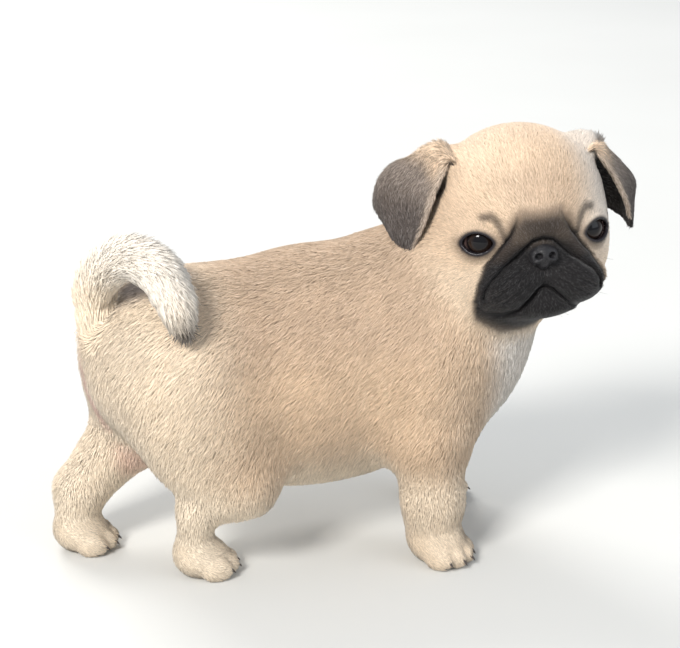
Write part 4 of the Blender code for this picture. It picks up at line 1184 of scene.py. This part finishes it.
def makeEar(word, side):
    rows = np.stack([smoothLine(row, ears["across"]) for row in ears["rows"][word]])
    places = np.stack([smoothLine(rows[:, i], ears["down"]) for i in range(ears["across"])], axis=1)
    outer = np.cross(np.gradient(places, axis=0), np.gradient(places, axis=1))
    bm = bmesh.new()
    bmesh.ops.create_grid(bm, x_segments=ears["across"] - 1, y_segments=ears["down"] - 1, size=1.0)
    across = bm.verts.layers.int.new("across")
    down = bm.verts.layers.int.new("down")
    for vert in bm.verts:
        vert[across] = round((vert.co.x + 1) / 2 * (ears["across"] - 1))
        vert[down] = round((vert.co.y + 1) / 2 * (ears["down"] - 1))
        vert.co = fromHead(places[vert[down], vert[across]] * (1, side, 1))
    if side < 0:
        bmesh.ops.reverse_faces(bm, faces=bm.faces)
    piece = addPiece("ear" + word.capitalize(), meshFrom(bm, "ear"), earSkinMaterial)
    shell = piece.modifiers.new("Thickness", "SOLIDIFY")
    shell.thickness = ears["thickness"]
    shell.offset = 0.0
    bake(piece)
    mesh = piece.data
    unwrap(piece, "skinMap")
    points, normals = getCoordinates(mesh), getNormals(mesh)
    column, ring = (readAll(mesh.attributes[name].data, "value", kind=np.int32) for name in ("across", "down"))
    u, v = column / (ears["across"] - 1), ring / (ears["down"] - 1)
    fromMiddle = toHead(points) * (1, side, 1) - places[ring, column]
    outside = (np.sum(fromMiddle * outer[ring, column], axis=1) > 0).astype(float)
    lie = np.gradient(places, axis=0)[ring, column] * (1, side, 1) @ headWorld[:3, :3].T
    lie -= normals * np.sum(lie * normals, axis=1, keepdims=True)
    hairOutside, hairInside, hairRoot = (np.array(ears[name]) for name in ("outside", "inside", "root"))
    sizes = hairInside + (hairOutside - hairInside) * outside[:, None]
    sizes += (hairRoot - sizes) * (outside * ramp(v, 0.36, 0.16))[:, None]
    base = np.tile(linear("ear"), (len(points), 1))
    paint(base, "earStreak", 0.40 * outside * ramp(v, 0.75, 0.35))
    paint(base, "apricot", 0.92 * outside * ramp(v + 0.10 * u, 0.44, 0.22))
    paint(base, "black", 0.8 * (1 - outside))
    paint(base, "black", 0.4 * outside * ramp(v, 0.80, 0.97))
    paint(base, "earStreak", 0.9 * ramp(u, 0.08, 0.02) * ramp(v, 0.10, 0.25))
    groom(mesh, unit(lie), sizes, base)
    mesh.shade_smooth()
    return piece


# Eyes, nose, claws and whiskers


irisBands = (  # distance from the eye's axis in iris radii, with the linear colour there
    (0.0, (0.003, 0.003, 0.004)), (0.52, (0.004, 0.003, 0.004)), (0.62, (0.010, 0.006, 0.005)),
    (0.88, (0.020, 0.011, 0.008)), (1.00, (0.006, 0.004, 0.004)), (1.12, (0.010, 0.006, 0.006)),
    (1.26, (0.085, 0.055, 0.050)), (1.60, (0.060, 0.030, 0.028)),
)
irisReach = 1.7  # where the bands end


def makeEye(word, side):
    yaw, pitch = (math.radians(angle) for angle in eyes["gaze"][word])
    centre = eyeCentre(side)
    gaze = Vector((math.cos(yaw) * math.cos(pitch), math.sin(yaw) * math.cos(pitch), math.sin(pitch)))
    turn = (headMatrix().to_3x3() @ gaze).to_track_quat("Z", "Y").to_matrix().to_4x4()
    bm = bmesh.new()
    bmesh.ops.create_uvsphere(bm, u_segments=64, v_segments=40, radius=eyes["radius"])
    for vert in bm.verts:
        away = math.hypot(vert.co.x, vert.co.y)
        if vert.co.z > 0:
            bulge = float(ramp(away, eyes["iris"] * 1.25, eyes["iris"] * 0.5))
            vert.co *= 1 + eyes["cornea"] / eyes["radius"] * bulge
    mesh = meshFrom(bm, "eye" + word)
    mesh.transform(Matrix.Translation(centre) @ turn)
    mesh.shade_smooth()
    material, tree, shader = makeMaterial("wetEye" + word.capitalize(), Roughness=0.5, Coat_Weight=1.0,
                                          Coat_Roughness=0.02, Coat_IOR=1.36, Specular_IOR_Level=0.0)
    origin = addNode(tree, "ShaderNodeTexCoord", (-1400, 0))
    local = addNode(tree, "ShaderNodeMapping", (-1200, 0), {
        "Location": centre + Vector(shift), "Rotation": turn.to_euler(), "Scale": (eyes["iris"],) * 3,
    }, vector_type="TEXTURE")
    flat = addNode(tree, "ShaderNodeVectorMath", (-1000, 0), {1: (1.0, 1.0, 0.0)}, operation="MULTIPLY")
    away = addNode(tree, "ShaderNodeVectorMath", (-800, 0), operation="LENGTH")
    rim = addNode(tree, "ShaderNodeVectorMath", (-1000, -300), operation="NORMALIZE")
    rays = addNode(tree, "ShaderNodeTexNoise", (-800, -300), {"Scale": 9.0})
    wobble = maths(tree, "MULTIPLY_ADD", rays.outputs["Fac"], 0.10, (-600, -200), -0.05)
    ringed = maths(tree, "ADD", away.outputs["Value"], wobble, (-400, 0))
    bands = addNode(tree, "ShaderNodeValToRGB", (-200, 0))
    stops = bands.color_ramp.elements
    stops.remove(stops[-1])
    stops[0].color = (*irisBands[0][1], 1.0)
    for at, colour in irisBands[1:]:
        stops.new(at / irisReach).color = (*colour, 1.0)
    join(tree, (origin.outputs["Object"], local.inputs[0]), (local.outputs[0], flat.inputs[0]),
         (flat.outputs[0], away.inputs[0]), (flat.outputs[0], rim.inputs[0]),
         (rim.outputs[0], rays.inputs["Vector"]),
         (maths(tree, "MULTIPLY", ringed, 1 / irisReach, (-300, 0)), bands.inputs[0]),
         (bands.outputs[0], shader.inputs["Base Color"]))
    return addPiece("eye" + word.capitalize(), mesh, material)


def noseField(points):
    q = toHead(points)
    q[:, 1] = np.sqrt(q[:, 1] ** 2 + (head["mirrorSoftness"] / 3) ** 2)
    q -= np.array(nose["place"])
    found = softMin(ellipsoid(q, (0.0, 0.0, 0.0), nose["half"]), ellipsoid(q, *nose["wing"]), 0.0015)
    found = softMin(found, ellipsoid(q, *nose["foot"]), 0.0020)
    found = softMax(found, -softMin(ellipsoid(q, *nose["nostril"]), taper(q, *nose["slit"]), 0.001), 0.0004)
    depth, width, top = nose["seam"]
    seam = np.hypot(q[:, 1], np.maximum(q[:, 2] - top, 0.0))
    return found + depth * np.exp(-((seam / width) ** 2))


def makeNose():
    turn = headMatrix().to_quaternion().to_matrix().to_4x4()
    piece = ballsPiece("noseLeather", [ballAt(headMatrix() @ Vector(nose["place"]), nose["half"], turn)])
    voxelRemesh(piece, nose["voxel"])
    settle(piece.data, noseField, 20, relax=0.3, share=0.6, limit=0.0004)
    settle(piece.data, noseField, 4, relax=0.05, share=0.5, limit=0.0003)
    piece.data.shade_smooth()
    material, tree, shader, grain = speckledMaterial(
        "noseLeather", 300.0, (0.006, 0.006, 0.007), (0.030, 0.028, 0.031), Coat_Weight=0.12,
        Coat_Roughness=0.20, Specular_IOR_Level=0.3)
    origin = addNode(tree, "ShaderNodeTexCoord", (-1100, -300))
    pebbles = addNode(tree, "ShaderNodeTexVoronoi", (-900, -300), {"Scale": 1200.0}, feature="DISTANCE_TO_EDGE")
    gloss = addNode(tree, "ShaderNodeMapRange", (-400, -200), {"To Min": 0.32, "To Max": 0.55})
    raised = addNode(tree, "ShaderNodeBump", (-400, -400), {"Strength": 0.9, "Distance": 0.0004})
    join(tree, (origin.outputs["Object"], pebbles.inputs["Vector"]), (grain, gloss.inputs["Value"]),
         (gloss.outputs[0], shader.inputs["Roughness"]), (pebbles.outputs["Distance"], raised.inputs["Height"]),
         (raised.outputs[0], shader.inputs["Normal"]))
    setMaterial(piece.data, material)
    return piece


def taperedTubes(name, lines, roundness, material):
    # Each line is a list of places with radii; all become one mesh
    curve = bpy.data.curves.new(name, "CURVE")
    curve.dimensions = "3D"
    curve.bevel_depth = 1.0
    curve.bevel_resolution = roundness
    curve.use_fill_caps = True
    for line in lines:
        spline = curve.splines.new("POLY")
        spline.points.add(len(line) - 1)
        for point, (place, radius) in zip(spline.points, line):
            point.co = (*place, 1.0)
            point.radius = radius
    tube = bpy.data.objects.new(name, curve)
    scene.collection.objects.link(tube)
    bpy.context.view_layer.update()
    mesh = bpy.data.meshes.new_from_object(tube.evaluated_get(bpy.context.evaluated_depsgraph_get()))
    bpy.data.objects.remove(tube)
    bm = bmesh.new()
    bm.from_mesh(mesh)
    bmesh.ops.remove_doubles(bm, verts=bm.verts, dist=1e-6)
    bmesh.ops.recalc_face_normals(bm, faces=bm.faces)
    bm.to_mesh(mesh)
    bm.free()
    mesh.shade_smooth()
    return addPiece(name, mesh, material)


claws = {"length": 0.0058, "radius": 0.00115, "droop": 30.0, "curl": 28.0, "steps": 6}


def makeClaws():
    lines = []
    for leg in legs.values():
        place = pawMatrix(leg)
        for toeX, toeY in paw["toes"]:
            at = Vector((toeX + paw["toe"][0] * 0.52, toeY * 1.02, paw["toe"][2] * 0.86))
            line = []
            for i in range(claws["steps"] + 1):
                t = i / claws["steps"]
                angle = math.radians(claws["droop"] + claws["curl"] * (t - 0.5) * 2)
                radius = claws["radius"] * (1 - 0.85 * t**1.6)
                at.z = max(at.z, radius)
                line.append((place @ at, radius))
                at = at + Vector((math.cos(angle), 0.0, -math.sin(angle))) * claws["length"] / claws["steps"]
            lines.append(line)
    material = speckledMaterial("clawHorn", 500.0, (0.020, 0.015, 0.014), (0.085, 0.062, 0.050), Roughness=0.35,
                                Coat_Weight=0.3)[0]
    return taperedTubes("claws", lines, 4, material)


whiskers = {
    # places across and up from the front, length in millimetres
    "roots": ((0.0130, -0.0230, 7), (0.0165, -0.0250, 9), (0.0200, -0.0275, 9), (0.0150, -0.0285, 8),
              (0.0190, -0.0310, 9), (0.0225, -0.0325, 10), (0.0120, -0.0310, 6), (0.0060, -0.0425, 5),
              (0.0110, -0.0440, 5), (0.0195, 0.0072, 5), (0.0230, 0.0060, 5), (0.0335, -0.0215, 7)),
    "radius": 0.00009, "steps": 8, "curl": 1.3, "seed": 5,
}


def makeWhiskers(skinPiece):
    points, normals = getCoordinates(skinPiece.data), getNormals(skinPiece.data)
    q = toHead(points)
    facing = (normals @ headWorld[:3, :3])[:, 0] > 0.1
    rng = np.random.default_rng(whiskers["seed"])
    lines = []
    for side in sides.values():
        for across, up, length in whiskers["roots"]:
            gap = np.hypot(q[:, 1] - side * across, q[:, 2] - up)
            root = int(np.argmin(gap + np.where(facing & (q[:, 0] > 0), 0.0, 1.0)))
            outwards = np.array((-0.3, side * 0.9, -0.35 if up < 0 else 0.6)) + rng.normal(0, 0.12, 3)
            outwards = unit(outwards) @ headWorld[:3, :3].T
            heading = unit(0.6 * normals[root] + outwards)
            step = length / 1000 * rng.uniform(0.85, 1.15) / whiskers["steps"]
            at, line = points[root] - normals[root] * 0.0006, []
            for i in range(whiskers["steps"] + 1):
                line.append((at, whiskers["radius"] * (1 - 0.85 * i / whiskers["steps"])))
                at = at + heading * step
                bend = (outwards - normals[root] * 0.3) * whiskers["curl"] / whiskers["steps"]
                heading = unit(heading + bend)
            lines.append(line)
    material = speckledMaterial("whiskerHair", 200.0, (0.012, 0.010, 0.009), (0.060, 0.050, 0.045),
                                Roughness=0.4)[0]
    return taperedTubes("whiskers", lines, 1, material)


# Stage, lights and camera

view = {
    "azimuth": -15.0, "elevation": 18.0, "distance": 0.80, "target": (0.0, 0.0, 0.108),
    "metresPerPixel": 0.00048, "pixelsWide": 680, "sensor": 36.0,
}
studio = {"floor": 6.0, "sky": (0.80, 0.84, 0.90), "strength": 0.68, "aim": (0.0, 0.0, 0.10)}
lights = (  # name, place, size, watts, colour
    ("key", (-2.5, -2.5, 3.0), 1.3, 215.0, (1.0, 0.975, 0.94)),
    ("fill", (2.4, -2.3, 1.8), 2.6, 30.0, (0.88, 0.94, 1.0)),
    ("rim", (-0.9, 2.9, 2.6), 1.8, 100.0, (1.0, 0.99, 0.97)),
)


def makeStage():
    bm = bmesh.new()
    bmesh.ops.create_circle(bm, cap_ends=True, segments=96, radius=studio["floor"])
    material = speckledMaterial("paleFloor", 3.0, (0.62, 0.62, 0.60), (0.66, 0.66, 0.64), Roughness=0.9,
                                Specular_IOR_Level=0.2)[0]
    addPiece("floor", meshFrom(bm, "floor"), material)
    scene.world = bpy.data.worlds.new("studio")
    scene.world.use_nodes = True
    sky = scene.world.node_tree.nodes["Background"].inputs
    sky["Color"].default_value = (*studio["sky"], 1.0)
    sky["Strength"].default_value = studio["strength"]
    scene.view_settings.view_transform = "Standard"
    for name, place, size, watts, colour in lights:
        lamp = bpy.data.lights.new(name, "AREA")
        lamp.energy, lamp.size, lamp.color = watts, size, colour
        holder = bpy.data.objects.new(name, lamp)
        holder.location = place
        aim = Vector(studio["aim"]) - Vector(place)
        holder.rotation_euler = aim.to_track_quat("-Z", "Y").to_euler()
        scene.collection.objects.link(holder)


def makeCamera():
    lens = bpy.data.cameras.new("camera")
    lens.sensor_width = view["sensor"]
    lens.lens = view["sensor"] * view["distance"] / (view["pixelsWide"] * view["metresPerPixel"])
    lens.clip_start = 0.01
    a, e = math.radians(view["azimuth"]), math.radians(view["elevation"])
    back = Vector((math.sin(a) * math.cos(e), -math.cos(a) * math.cos(e), math.sin(e)))
    camera = bpy.data.objects.new("camera", lens)
    camera.location = Vector(view["target"]) + Vector(shift) + back * view["distance"]
    camera.rotation_euler = (-back).to_track_quat("-Z", "Y").to_euler()
    scene.collection.objects.link(camera)
    scene.camera = camera


# Putting it together

makeCamera()
makeStage()
skin = growSkin()
keepAbove(skin.data, 0.0)
points, normals = getCoordinates(skin.data), getNormals(skin.data)
groom(skin.data, coatLie(points, normals), coatSizes(points, normals), markings_and_painted_light(points, normals))
q = toHeadHalf(points)
setVector(skin.data, "wet", "FLOAT", headShare(points) * np.maximum(
    lidShare(q, 0.0014, 0.0006), 0.6 * ramp(mouthGap(q), 0.0016, 0.0006)))
setMaterial(skin.data, skinMaterial)
skin.data.shade_smooth()
print("skin", len(skin.data.polygons), "faces")

comb = combTree()
tufts = {name: addPiece(name, tuftMesh(name)) for name in tuftShapes}
short, long = tufts["shortTuft"], tufts["longTuft"]
coatPieces = growCoat(skin, regionNames, comb, (short, short, long, short, short),
                      (fawnMaterial, fawnMaterial, tailMaterial, fawnMaterial, fawnMaterial))
earPieces = {word: makeEar(word, side) for word, side in sides.items()}
earCoats = {word: growCoat(piece, ("coatEar" + word.capitalize(),), comb, (short,), (earMaterial,))
            for word, piece in earPieces.items()}
eyePieces = {word: makeEye(word, side) for word, side in sides.items()}
nosePiece = makeNose()
clawPiece = makeClaws()
whiskerPiece = makeWhiskers(skin)
for tuft in tufts.values():
    bpy.data.objects.remove(tuft)
print("pieces are made")


def finishPiece(piece, slot, *nodes):
    piece.data.transform(Matrix.Translation(shift))
    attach(piece, "root")
    if nodes:
        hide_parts(*nodes)


finishPiece(skin, "fawn_coat", "head", "neck", "chest", "belly", "rump",
            "foreleg_right", "foreleg_left", "hind_leg_right", "hind_leg_left",
            "forepaw_right", "forepaw_left", "hind_paw_right", "hind_paw_left",
            "tail_base", "tail_curl", "tail_tip")
for piece in coatPieces:
    finishPiece(piece, "tail_coat" if piece.name.startswith("coatTail") else "fawn_coat")
for word in sides:
    finishPiece(earPieces[word], "ear_coat", "ear_" + word)
    for piece in earCoats[word]:
        finishPiece(piece, "ear_coat")
    finishPiece(eyePieces[word], "eye", "eye_" + word)
finishPiece(nosePiece, "nose_leather", "nose")
finishPiece(clawPiece, "nose_leather")
finishPiece(whiskerPiece, "ear_coat")

print("dressed")
